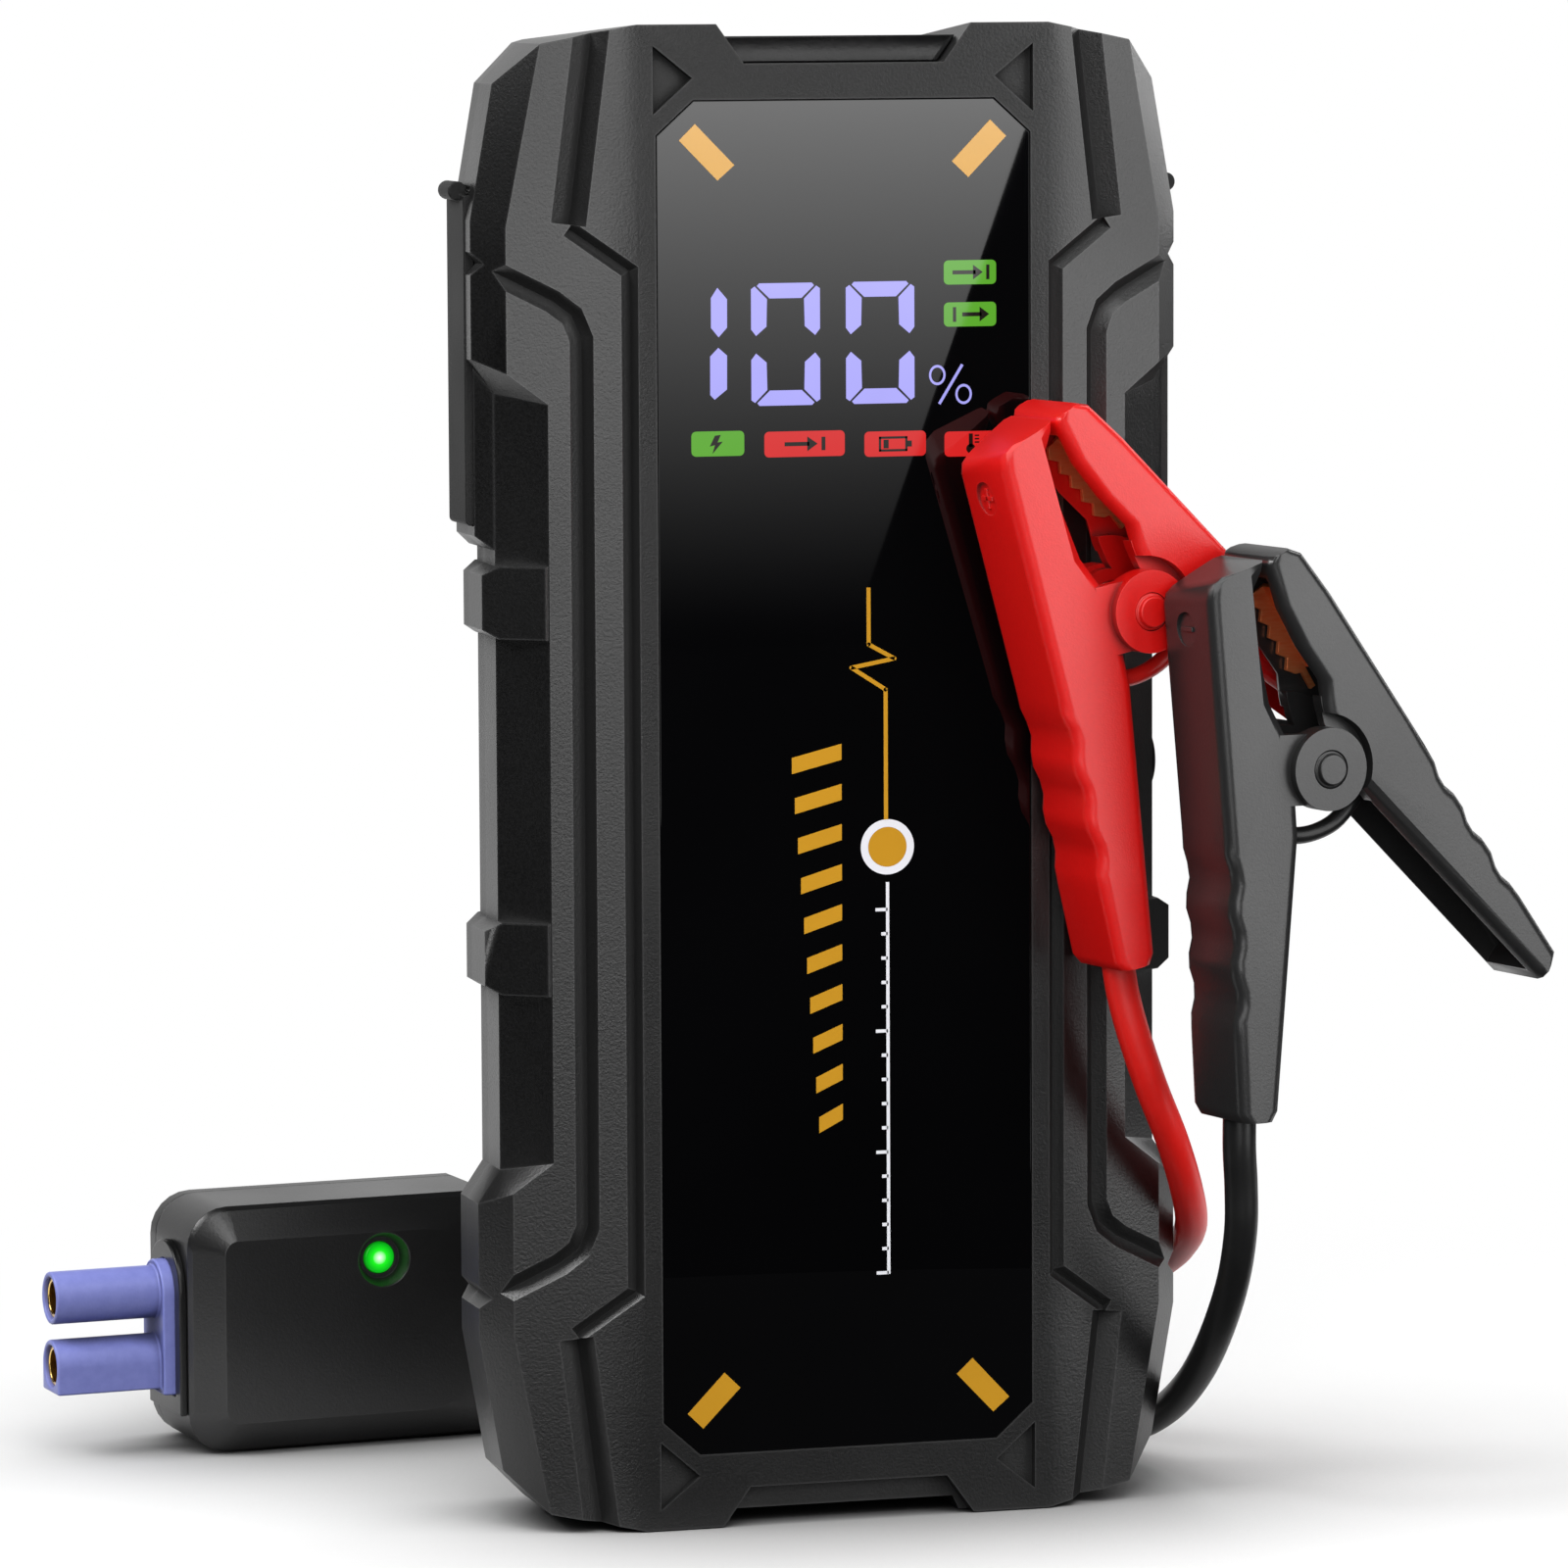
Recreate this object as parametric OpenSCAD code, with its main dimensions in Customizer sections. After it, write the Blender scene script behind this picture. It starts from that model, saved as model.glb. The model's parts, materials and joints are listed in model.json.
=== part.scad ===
// Jump starter pack with its clamp leads.
// The pack stands on its small end, screen towards -Y, with the origin at
// the centre of its base. The lead set stands behind and beside it.

/* [Pack] */
// Height of the standing pack
pack_h = 224; // [205:1:245]
// Thickness of the pack, front to back
pack_t = 34; // [33:0.5:37]
// Half width over the plain side walls
body_half = 51.3; // [48:0.1:56]
// How far the corner armour stands out of the side walls
shoulder_out = 3.4; // [2.9:0.1:4]
// Half width of the flat bezel round the screen
bezel_half = 31.7; // [31.2:0.1:32.2]
// Angle at which the front armour falls away from the bezel
armour_slope = 13.4; // [12:0.1:14]
// Width of the long side bevels, seen from the front
bevel_run = 6.6; // [6:0.1:7.2]
// Depth of the joint between the front and back covers
seam_depth = 16.5; // [15.5:0.25:17.5]
// Depth at which the side walls end and the back bevel starts
side_end = 20.5; // [20:0.25:21.5]
// Width of the back bevels, seen from behind
back_run = 7.6; // [6.6:0.1:8]
// Fall of the top end from front to back
top_fall = 3.4; // [2:0.2:4]
// Wall of the covers
wall = 2.6; // [2.2:0.1:2.8]
// Thickness of the front wall under the bezel
front_wall = 3.8; // [3.5:0.1:4.2]

/* [Corner armour] */
// Length of the corner armour, from the end of the pack
shoulder_len = 51.1; // [50:0.5:53]
// Run of the slanted step at the inner end of the corner armour
shoulder_step = 4.5; // [3.5:0.25:5.5]
// Inset of the armour front from the side walls, where it is widest
armour_in = 0.7; // [0.3:0.1:1.1]
// Inset of the armour front from the side walls at the end of the pack
armour_end_in = 5.8; // [5.2:0.1:6.4]
// Distance from the end to the widest armour
armour_run = 29.7; // [28:0.5:31]

/* [Grooves and side blocks] */
// Width of the wide groove in the corner armour
wide_groove_w = 5.2; // [4.6:0.1:5.6]
// Depth of the wide groove
wide_groove_d = 2.2; // [1.6:0.1:2.4]
// Width of the narrow inner groove
inner_groove_w = 2.5; // [2:0.1:2.6]
// Depth of the narrow inner groove
inner_groove_d = 1.3; // [0.8:0.1:1.6]
// Width of the outer groove
outer_groove_w = 3.5; // [3:0.1:3.8]
// Depth of the outer groove
outer_groove_d = 1.6; // [1.2:0.1:1.9]
// How far the side bumpers stand out of the side walls
bumper_out = 2.3; // [1.8:0.1:2.6]
// Height of a side bumper at its outer face
bumper_h = 8.1; // [7:0.5:10]
// Height of the lower bumper above the base
bumper_z = 86; // [82:1:90]
// How far the port blocks stand out of the side walls
block_out = 2.4; // [2.1:0.1:2.7]

/* [Screen] */
// Half width of the screen glass
glass_half = 28.8; // [28.2:0.1:29.2]
// Margin from the end of the pack to the glass
glass_margin = 11.2; // [10.8:0.2:12]
// Corner cut of the glass, across
glass_cut = 5.7; // [4:0.5:7]
// Thickness of the glass
glass_t = 1.6; // [1.2:0.1:1.8]
// Depth of the end notches
notch_d = 5.8; // [5:0.2:6.4]
// Half width of the notch at the end face
notch_half = 19.6; // [18:0.4:20.4]

/* [Ports] */
// Thickness of the rubber port flaps
flap_t = 1.6; // [1.2:0.1:1.8]
// Width of a port flap
flap_w = 10.4; // [10:0.2:10.8]
// Length of a port flap
flap_len = 49; // [46:1:51]
// Distance from the top end down to the foot of the flap pockets
pocket_drop = 74; // [72:1:77]
// Spacing of the two barrels of the jump plug and socket
barrel_gap = 10.8; // [10.4:0.1:11.2]
// Radius of the contact pins in the jump socket
pin_r = 2.4; // [2.2:0.1:2.5]
// Radius of the power button
button_r = 4.5; // [4:0.1:4.8]
// Travel of the power button
button_travel = 0.8; // [0.6:0.1:0.9]

/* [Inside the pack] */
// Room between the cells and the outside of the side walls
side_room = 15.8; // [15:0.1:17.6]
// Height over the cells, for the screen electronics and the ports
port_room = 83; // [80:1:92]
// Thickness of a battery cell
cell_t = 7.6; // [7:0.1:7.8]
// Thickness of the circuit boards
board_t = 1.6; // [1.2:0.2:2]
// Radius of the screw posts
post_r = 3.2; // [3:0.1:3.4]
// Radius of the cover screw shanks
screw_r = 1.25; // [1.2:0.05:1.3]

/* [Clamps] */
// Thickness of a clamp
clamp_t = 15; // [14:0.5:16]
// Wall of the clamp arms
arm_wall = 1.9; // [1.6:0.1:2.2]
// Radius of the disc over the clamp pivot
disc_r = 6.2; // [5.8:0.1:6.8]
// How far the disc stands out of the clamp
disc_out = 1.5; // [1:0.1:1.7]
// Radius of the clamp pivot pin
pivot_r = 1.6; // [1.4:0.1:1.8]
// Turn of the clamps about the upright, away from the screen
clamp_yaw = 12; // [12:0.5:13]
// Lean of the red clamp
red_lean = 10.5; // [10:0.25:11]
// Height of the red clamp's pivot
red_pivot_z = 137; // [136.5:0.5:138]
// Height of the black clamp's pivot
black_pivot_z = 114; // [113.5:0.5:115]
// Diameter of the spring wire
spring_wire = 1.2; // [1:0.05:1.3]
// Thickness of the copper jaw plates
plate_t = 0.8; // [0.6:0.1:1]

/* [Lead module] */
// Length of the square part of the lead module
module_len = 55; // [52:1:58]
// Height of the lead module
module_h = 39; // [37:0.5:41]
// Thickness of the lead module
module_t = 25; // [23:0.5:27]
// Wall of the lead module
module_wall = 2; // [1.6:0.1:2.4]
// Outer radius of a plug barrel
barrel_r = 4.15; // [4:0.05:4.3]
// Length of a plug barrel in front of its flange
barrel_len = 17; // [15:0.5:18]
// Diameter of the leads
lead_d = 5; // [4.6:0.2:5.2]

/* [Hidden] */
$fn = 48;
eps = 0.01;
fit = 0.1;          // clearance round a piece that seats in a pocket
run_fit = 0.05;     // radial clearance of a pin or screw in its bore
shell_gap = 0.3;    // clearance between pieces that move past each other

front_y = -pack_t / 2;
function y_at(depth) = front_y + depth;
function slope_depth(x) = max(0, x - bezel_half) * tan(armour_slope);
function mirror_x(pts) = concat(pts, [for (i = [len(pts) - 1:-1:0]) [-pts[i].x, pts[i].y]]);
function up_down(pts) = concat(pts, [for (i = [len(pts) - 1:-1:0]) [pts[i].x, pack_h - pts[i].y]]);

shoulder_half = body_half + shoulder_out;
bevel_foot = body_half - bevel_run;
back_half = body_half - back_run;
armour_half = body_half - armour_in;
armour_end_half = body_half - armour_end_in;
block_half = body_half + block_out;
block_foot = body_half - 2;
groove_x = bevel_foot - 3.1;
window_half = glass_half - 6.8;
side_start = slope_depth(bevel_foot) + bevel_run;
side_mid = (side_start + side_end) / 2;
fall_rate = top_fall / pack_t;
end_wall = notch_d + wall + 0.2;
glass_front = 0.1;
pocket_floor = shoulder_half + 0.2 - flap_t;
flap_mid = 18;
pocket_z = pack_h - pocket_drop;
pocket_w = flap_w + 0.4;
flap_hinge_z = pocket_z + 0.1 + flap_t / 2;
tab_r = 1.4;
tab_x = pocket_floor + flap_t + 0.4;
tab_z = pocket_z + flap_len + 0.6;
cell_w = 2 * (body_half - side_room);
screw_x = cell_w / 2 + post_r + 1.8;
screw_z = [15, bumper_z, pack_h - bumper_z + 1, pack_h - 15];
socket_z = pocket_z + 25;
usb_a_z = [pocket_z + 8.6, pocket_z + 24.4];
usb_c_z = pocket_z + 38.5;
button_z = pack_h / 2;
button_flange = 0.5;
screw_head_r = 2.7;
screw_sink = 2.4;
usb_a_tall = 13.2;
usb_a_deep = 5.7;
usb_c_tall = 9;
usb_c_deep = 3.3;
socket_tall = 23;
socket_deep = 10.2;
socket_len = 17;
port_board_depth = flap_mid + usb_a_deep / 2;
button_inner = body_half - wall - 1.4;
switch_room = 4.9;    // the button board, its switch and the travel behind the button
button_board_x = button_inner - switch_room;
button_board_h = 14;
cell_z = end_wall + 0.4;
cell_top = pack_h - port_room;
tab_h = 5.8;
main_board_depth = 13;
board_half = cell_w / 2 - 1.5;
board_low = cell_top + tab_h + 0.2;
board_high = pack_h - end_wall - 7.4;
board_post_x = board_half - 4;
board_posts = [board_low + 3, board_high - 4];
cell_front = (front_wall + pack_t - wall - 3 * cell_t) / 2 + 0.6;
torch_r = 3.4;
end_front = 3;
end_low = 1.5;
torch_low = pack_h - notch_d - 1.6;

// ---------- shared helpers ----------

// An outline in the XZ plane, extruded from one depth to another
module slab(d0, d1) {
    translate([0, y_at(d1), 0]) rotate([90, 0, 0]) linear_extrude(d1 - d0) children();
}

// An outline in the YZ plane, given as [depth, z], extruded along X
module side_slab(x0, x1) {
    translate([x0, front_y, 0]) rotate([90, 0, 90]) linear_extrude(x1 - x0) children();
}

// A box given by its x, depth and z limits
module depth_box(x, d, z) {
    translate([x[0], y_at(d[0]), z[0]]) cube([x[1] - x[0], d[1] - d[0], z[1] - z[0]]);
}

module both_sides() {
    children();
    mirror([1, 0, 0]) children();
}

module four_corners() {
    both_sides() {
        children();
        translate([0, 0, pack_h]) mirror([0, 0, 1]) children();
    }
}

// The tilted plane of the right front armour: local x runs outwards, local y inwards
module on_armour() {
    translate([bezel_half, front_y, 0]) rotate([0, 0, armour_slope]) children();
}
function on_plane(x) = (x - bezel_half) / cos(armour_slope);

function unit(v) = v / norm(v);
function leg(pts, i) = unit(pts[i + 1] - pts[i]);
function side_of(v) = [-v.y, v.x];

// A V groove along a list of [x, z] points on the armour plane, mitred at its bends
module groove(pts, w, d) {
    over = 0.6;
    grown = w / 2 * (1 + over / d);
    n = len(pts);
    rings = [for (i = [0:n - 1])
        let (a = side_of(leg(pts, max(i - 1, 0))), b = side_of(leg(pts, min(i, n - 2))),
            out = (a + b) * grown / (1 + a * b), p = pts[i])
            each [[p.x + out.x, -over, p.y + out.y], [p.x - out.x, -over, p.y - out.y], [p.x, d, p.y]]];
    walls = [for (i = [0:n - 2]) for (k = [0:2])
        let (a = 3 * i + k, b = 3 * i + (k + 1) % 3) [b, a, a + 3, b + 3]];
    polyhedron(rings, concat(walls, [[0, 1, 2], [3 * n - 1, 3 * n - 2, 3 * n - 3]]), convexity = 6);
}

// A tube swept along a list of 3-D points
function tangent(p, i) = unit(p[min(i + 1, len(p) - 1)] - p[max(i - 1, 0)]);
function turned(n, t) = unit(n - (n * t) * t);
function frames(p, i, n) = i == len(p) ? [] :
    let (m = turned(n, tangent(p, i))) concat([m], frames(p, i + 1, m));
module swept_tube(p, r, sides, start_normal) {
    normals = frames(p, 0, turned(start_normal, tangent(p, 0)));
    rings = [for (i = [0:len(p) - 1]) let (t = tangent(p, i), n = normals[i], b = cross(t, n))
        for (k = [0:sides - 1]) p[i] + r * (cos(360 * k / sides) * n + sin(360 * k / sides) * b)];
    last = (len(p) - 1) * sides;
    walls = [for (i = [0:len(p) - 2]) for (k = [0:sides - 1])
        let (a = i * sides + k, b = i * sides + (k + 1) % sides)
            for (f = [[a, a + sides, b], [b, a + sides, b + sides]]) f];
    caps = [[for (k = [0:sides - 1]) k], [for (k = [sides - 1:-1:0]) last + k]];
    polyhedron(rings, concat(walls, caps), convexity = 8);
}

// Points of a smooth curve through a list of hand-set points
function curve_point(a, b, c, d, t) = 0.5 * ((2 * b) + (c - a) * t + (2 * a - 5 * b + 4 * c - d) * t * t
    + (3 * b - a - 3 * c + d) * t * t * t);
function smooth(p, n) = concat([for (i = [0:len(p) - 2]) for (k = [0:n - 1])
    curve_point(p[max(i - 1, 0)], p[i], p[i + 1], p[min(i + 2, len(p) - 1)], k / n)], [p[len(p) - 1]]);

// ---------- pack housing ----------

// Cross-section [x, y] of the pack: foot and half give the bevel and side wall
function section(foot, half) = mirror_x([[bezel_half, front_y], [foot, y_at(slope_depth(foot))],
    [half, y_at(side_start)], [half, y_at(side_end)], [back_half, y_at(pack_t)]]);

// Upper right quarter of the end outline, as [x, z]
function end_corner() = [[bezel_half, pack_h], [armour_end_half - 0.1, pack_h - 2.7],
    [armour_end_half + 5.7, pack_h - 8.6], [shoulder_half, pack_h - armour_run + 1]];

module pack_outline() {
    quarter = concat([[0, pack_h]], end_corner());
    right = up_down(quarter);
    polygon(concat(right, [for (i = [len(right) - 1:-1:0]) [-right[i].x, right[i].y]]));
}

module shoulder() {
    hull() {
        on_armour() rotate([90, 0, 0]) mirror([0, 0, 1]) linear_extrude(0.4)
            polygon([[0, pack_h], [on_plane(armour_end_half), pack_h - 2.7],
                [on_plane(armour_half), pack_h - armour_run], [on_plane(armour_half), pack_h - shoulder_len],
                [on_plane(bevel_foot), pack_h - shoulder_len - shoulder_step],
                [0, pack_h - shoulder_len - shoulder_step]]);
        slab(side_start, side_end)
            polygon(concat(end_corner(), [[shoulder_half, pack_h - shoulder_len + 2],
                [body_half, pack_h - shoulder_len - shoulder_step + 1.5],
                [bezel_half, pack_h - shoulder_len - shoulder_step]]));
        slab(pack_t - 0.4, pack_t)
            polygon([[bezel_half, pack_h], [back_half - 4, pack_h - 2.7], [back_half, pack_h - 9],
                [back_half, pack_h - shoulder_len], [bezel_half, pack_h - shoulder_len]]);
    }
}

module bumper(z) {
    base = bumper_h + 2.7;
    rise = body_half + bumper_out;
    intersection() {
        linear_extrude(pack_h) polygon([[bevel_foot - 1.5, y_at(slope_depth(bevel_foot) + 1)],
            [bevel_foot + 0.6, y_at(slope_depth(bevel_foot) - 0.1)], [rise, y_at(side_start - 1)],
            [rise, y_at(side_end - 0.6)], [body_half - 2, y_at(side_end + 3.6)]]);
        slab(0, pack_t) polygon([[30, z - base / 2], [body_half, z - base / 2], [rise, z - bumper_h / 2],
            [rise, z + bumper_h / 2], [body_half, z + base / 2], [30, z + base / 2]]);
    }
}

module port_block() {
    intersection() {
        linear_extrude(pack_h) polygon([[bevel_foot, y_at(slope_depth(bevel_foot) + 2)], [block_foot, y_at(8)],
            [block_half, y_at(8 + block_half - block_foot)], [block_half, y_at(side_end + 3)],
            [block_foot, y_at(side_end + 6.8)], [bevel_foot, y_at(side_end + 3)]]);
        slab(0, pack_t) polygon([[30, pocket_z - 3.4], [body_half, pocket_z - 3.4],
            [block_half, pocket_z - 1.4], [block_half, pocket_z + flap_len + 1.4], [30, pocket_z + flap_len + 3]]);
    }
}

module pack_form() {
    intersection() {
        union() {
            depth_box([-bezel_half, bezel_half], [0, pack_t], [0, pack_h]);
            translate([0, 0, shoulder_len - 8]) linear_extrude(pack_h - 2 * (shoulder_len - 8))
                polygon(section(bevel_foot, body_half));
            four_corners() shoulder();
            both_sides() {
                bumper(bumper_z);
                bumper(pack_h - bumper_z + 1);
                port_block();
            }
        }
        side_slab(-70, 70) polygon([[-1, 0], [-1, pack_h], [0, pack_h], [pack_t - 4, pack_h - fall_rate * (pack_t - 4)],
            [pack_t, pack_h - top_fall - 4], [pack_t, 4], [pack_t - 4, 0]]);
        slab(-1, pack_t + 1) pack_outline();
    }
}

module pack_cavity() {
    translate([0, 0, end_wall]) linear_extrude(pack_h - 2 * end_wall)
        polygon(mirror_x([[bezel_half - 0.7, y_at(front_wall)],
            [bevel_foot - 1.5, y_at(front_wall + slope_depth(bevel_foot) - 0.4)],
            [body_half - wall, y_at(side_start + wall * 0.5)], [body_half - wall, y_at(side_end - 0.8)],
            [back_half - wall * 0.7, y_at(pack_t - wall)]]));
}

module glass_outline(grow = 0) {
    drop = glass_cut * 0.9;
    half = glass_half + grow;
    low = glass_margin - grow;
    pts = [[half - glass_cut, low], [half, low + drop]];
    right = up_down(pts);
    polygon(concat(right, [for (i = [len(right) - 1:-1:0]) [-right[i].x, right[i].y]]));
}

module armour_grooves() {
    top = pack_h + 1;
    bend_z = pack_h - 29.2;
    on_armour() {
        for (ends = [[top, bend_z], [-1, pack_h - bend_z]])
            groove([[on_plane(groove_x - 3.7), ends[0]], [on_plane(groove_x), ends[1]]], wide_groove_w, wide_groove_d);
        groove(up_down([[on_plane(groove_x), bend_z - 0.6], [on_plane(bezel_half + 1.2), bend_z - 6.9]]),
            inner_groove_w, inner_groove_d);
        groove(up_down([[on_plane(groove_x + 16.4), bend_z - 4], [on_plane(groove_x + 2.4), bend_z - 11.2],
            [on_plane(groove_x - 0.4), bend_z - 13.4], [on_plane(groove_x - 1.75), bend_z - 16.8]]),
            outer_groove_w, outer_groove_d);
    }
}

// The outer groove runs on across the side wall as a notch
module side_notch() {
    x = shoulder_half - outer_groove_d;
    z = pack_h - 35;
    half = outer_groove_w / 2;
    translate([0, y_at(side_end + 6), 0]) rotate([90, 0, 0]) linear_extrude(side_end + 2)
        polygon([[x, z], [shoulder_half + 2, z - half * 2.2], [shoulder_half + 2, z + half * 2.2]]);
}

module corner_triangle() {
    slab(-1, 1.5) polygon([[bezel_half - 2.4, pack_h - 3.1], [bezel_half - 2.4, pack_h - 13.2],
        [bezel_half - 8.4, pack_h - 7.9]]);
}

module notch_outline(grow = 0) {
    foot = notch_half - 4.2;
    rate = (notch_half - foot) / notch_d;
    polygon([[-foot - grow, -notch_d], [foot + grow, -notch_d],
        [notch_half + rate + grow, 1], [-notch_half - rate - grow, 1]]);
}

module at_screws() {
    both_sides() for (z = screw_z) translate([screw_x, 0, z]) children();
}

// A rectangular opening through the side wall, long side upright
module side_hole(side, z, tall, deep) {
    x = side > 0 ? [body_half - 8, shoulder_half + 4] : [-shoulder_half - 4, -body_half + 8];
    depth_box(x, [flap_mid - deep / 2, flap_mid + deep / 2], [z - tall / 2, z + tall / 2]);
}

module side_openings() {
    both_sides() depth_box([pocket_floor - fit, shoulder_half + 4],
        [flap_mid - pocket_w / 2, flap_mid + pocket_w / 2], [pocket_z, pocket_z + flap_len + 0.6]);
    both_sides() translate([tab_x, y_at(flap_mid) + pocket_w / 2, tab_z]) rotate([90, 0, 0])
        cylinder(h = pocket_w, r = tab_r + shell_gap, $fn = 24);
    for (z = usb_a_z) side_hole(-1, z, usb_a_tall + 2 * fit, usb_a_deep + 2 * fit);
    side_hole(-1, usb_c_z, usb_c_tall + 2 * fit, usb_c_deep + 2 * fit);
    side_hole(1, socket_z, socket_tall + 2 * fit, socket_deep + 2 * fit);
    translate([body_half - 6, y_at(side_mid), button_z]) rotate([0, 90, 0]) {
        cylinder(h = 12, r = button_r + 0.2);
        cylinder(h = 6 - wall, r = button_r + button_flange + shell_gap);
    }
}

module torch_well() {
    translate([0, 0, pack_h - end_wall - 1]) cylinder(h = 30, r = torch_r + fit);
}

module front_cover() {
    color("#2b2c2e") difference() {
        union() {
            difference() {
                intersection() {
                    pack_form();
                    slab(-1, seam_depth) polygon([[-70, -1], [70, -1], [70, pack_h + 1], [-70, pack_h + 1]]);
                }
                pack_cavity();
            }
            at_screws() intersection() {
                translate([0, y_at(seam_depth), 0]) rotate([90, 0, 0]) cylinder(h = 11.2, r = post_r);
                translate([-10, y_at(front_wall), -10]) cube([20, pack_t, 20]);
            }
            for (z = board_posts) both_sides() translate([board_post_x, y_at(main_board_depth), z])
                rotate([90, 0, 0]) cylinder(h = main_board_depth - front_wall + 1, r = 2.5);
            for (z = [-1, 1]) depth_box([button_board_x - 0.6, body_half - 1], [side_start + 0.5, seam_depth],
                [button_z + z * (button_board_h / 2 + 0.75) - 0.75, button_z + z * (button_board_h / 2 + 0.75) + 0.75]);
        }
        slab(-1, glass_front + glass_t) glass_outline(fit);
        slab(-1, front_wall + 1) window_outline();
        both_sides() armour_grooves();
        four_corners() {
            corner_triangle();
            side_notch();
        }
        translate([0, 0, pack_h]) slab(-1, pack_t + 1) notch_outline();
        mirror([0, 0, 1]) slab(-1, 3) notch_outline();
        slab(-1, seam_depth - 1.5) polygon([[-notch_half + 1, -1], [notch_half - 1, -1],
            [notch_half - 2.5, 2.1], [-notch_half + 2.5, 2.1]]);
        side_openings();
        torch_well();
        at_screws() translate([0, y_at(seam_depth) + eps, 0]) rotate([90, 0, 0])
            cylinder(h = 10, r = screw_r + run_fit, $fn = 24);
    }
}

module back_cover() {
    color("#28292b") difference() {
        union() {
            difference() {
                intersection() {
                    pack_form();
                    slab(seam_depth, pack_t + 1) polygon([[-70, -1], [70, -1], [70, pack_h + 1], [-70, pack_h + 1]]);
                }
                pack_cavity();
            }
            at_screws() translate([0, y_at(pack_t - 1), 0]) rotate([90, 0, 0])
                cylinder(h = pack_t - 1 - seam_depth, r = post_r);
        }
        four_corners() side_notch();
        translate([0, 0, pack_h]) slab(-1, pack_t + 1) notch_outline();
        side_openings();
        torch_well();
        at_screws() {
            translate([0, y_at(pack_t) + 1, 0]) rotate([90, 0, 0])
                cylinder(h = pack_t, r = screw_r + 0.35, $fn = 24);
            translate([0, y_at(pack_t) + 1, 0]) rotate([90, 0, 0])
                cylinder(h = 1 + screw_sink, r = screw_head_r + 0.2, $fn = 32);
        }
    }
}

module cover_screws() {
    color("#55585c") at_screws() translate([0, y_at(pack_t - screw_sink), 0]) difference() {
        union() {
            rotate([-90, 0, 0]) cylinder(h = 1.8, r = screw_head_r, $fn = 32);
            rotate([90, 0, 0]) cylinder(h = pack_t - screw_sink - seam_depth + 9, r = screw_r, $fn = 24);
        }
        translate([0, 0.8, 0]) for (a = [0, 90]) rotate([0, a, 0]) cube([3, 3, 0.7], center = true);
    }
}

module display_glass() {
    color("#0a0a0c") slab(glass_front, glass_front + glass_t) glass_outline();
}

module window_outline() {
    translate([-window_half, pack_h - 68]) square([2 * window_half, 36]);
}

module display_board() {
    color("#1f4d33") depth_box([-window_half - 4, window_half + 4], [front_wall, front_wall + board_t],
        [pack_h - 71, pack_h - 29]);
    color("#dcdce4") depth_box([-window_half + 1, window_half - 1], [front_wall - 1, front_wall],
        [pack_h - 67, pack_h - 33]);
}

module main_board() {
    back = main_board_depth + board_t;
    color("#1f4d33") difference() {
        depth_box([-board_half, board_half], [main_board_depth, back], [board_low, board_high]);
        for (z = board_posts) both_sides() translate([board_post_x, y_at(main_board_depth) - 1, z])
            rotate([-90, 0, 0]) cylinder(h = 5, r = 1.6, $fn = 24);
    }
    color("#303236") depth_box([-12, 12], [back, back + 6], [pack_h - 44, pack_h - 26]);
    color("#8a8d92") translate([-22, y_at(back), pack_h - 36]) rotate([-90, 0, 0]) cylinder(h = 10, r = 5);
    color("#303236") for (i = [0:3]) depth_box([10 * i - 22, 10 * i - 15], [back, back + 2.4], [pack_h - 62, pack_h - 52]);
}

module port_board() {
    color("#1f4d33") depth_box([-body_half + wall + 2.1, -cell_w / 2], [port_board_depth, port_board_depth + board_t],
        [pocket_z, pocket_z + flap_len - 2]);
}

module button_board() {
    mid = y_at(side_mid);
    color("#1f4d33") depth_box([button_board_x, button_board_x + 1.2], [side_start + 1, side_end - 1.5],
        [button_z - button_board_h / 2, button_z + button_board_h / 2]);
    color("#303236") translate([button_board_x + 1.2, mid - 3, button_z - 3]) cube([1.9, 6, 6]);
    color("#d8d8d8") translate([button_board_x + 3.1, mid, button_z]) rotate([0, 90, 0]) cylinder(h = 0.5, r = 1.6);
}

module battery_cells() {
    color("#9aa0a6") for (i = [0:2]) depth_box([-cell_w / 2, cell_w / 2],
        [cell_front + i * cell_t, cell_front + (i + 1) * cell_t], [cell_z, cell_top]);
}

module battery_pads() {
    pad = [-cell_w / 2 + 6, cell_w / 2 - 6];
    color("#3a3a3c") {
        for (z = [cell_z + 8, cell_top - 28]) {
            depth_box([pad[0] + 2, pad[1] - 2], [front_wall, cell_front], [z, z + 20]);
            depth_box(pad, [cell_front + 3 * cell_t, pack_t - wall], [z, z + 20]);
        }
    }
}

module cell_tabs() {
    bar = [cell_top + tab_h - 0.8, cell_top + tab_h];
    color("#b9bcc0") for (i = [0:2]) for (s = [-1, 1])
        depth_box([s * 18 - 4, s * 18 + 4], [cell_front + (i + 0.5) * cell_t - 0.3, cell_front + (i + 0.5) * cell_t + 0.3],
            [cell_top, bar[0]]);
    color("#b9bcc0") for (s = [-1, 1]) depth_box([s * 18 - 4, s * 18 + 4],
        [cell_front + 0.5 * cell_t - 0.3, cell_front + 2.5 * cell_t + 0.3], bar);
}

module top_end_piece() {
    color("#0c0c0e") difference() {
        intersection() {
            translate([0, 0, pack_h]) slab(end_front, pack_t - end_front) notch_outline(-0.1);
            side_slab(-30, 30) polygon([[0, pack_h - notch_d], [0, pack_h - end_low],
                [pack_t, pack_h - end_low - top_fall], [pack_t, pack_h - notch_d]]);
        }
        torch_well();
    }
}

module torch_lens() {
    color("#dfe8ee") translate([0, 0, torch_low + 1.4]) cylinder(h = 1.6, r = torch_r);
}

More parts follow.
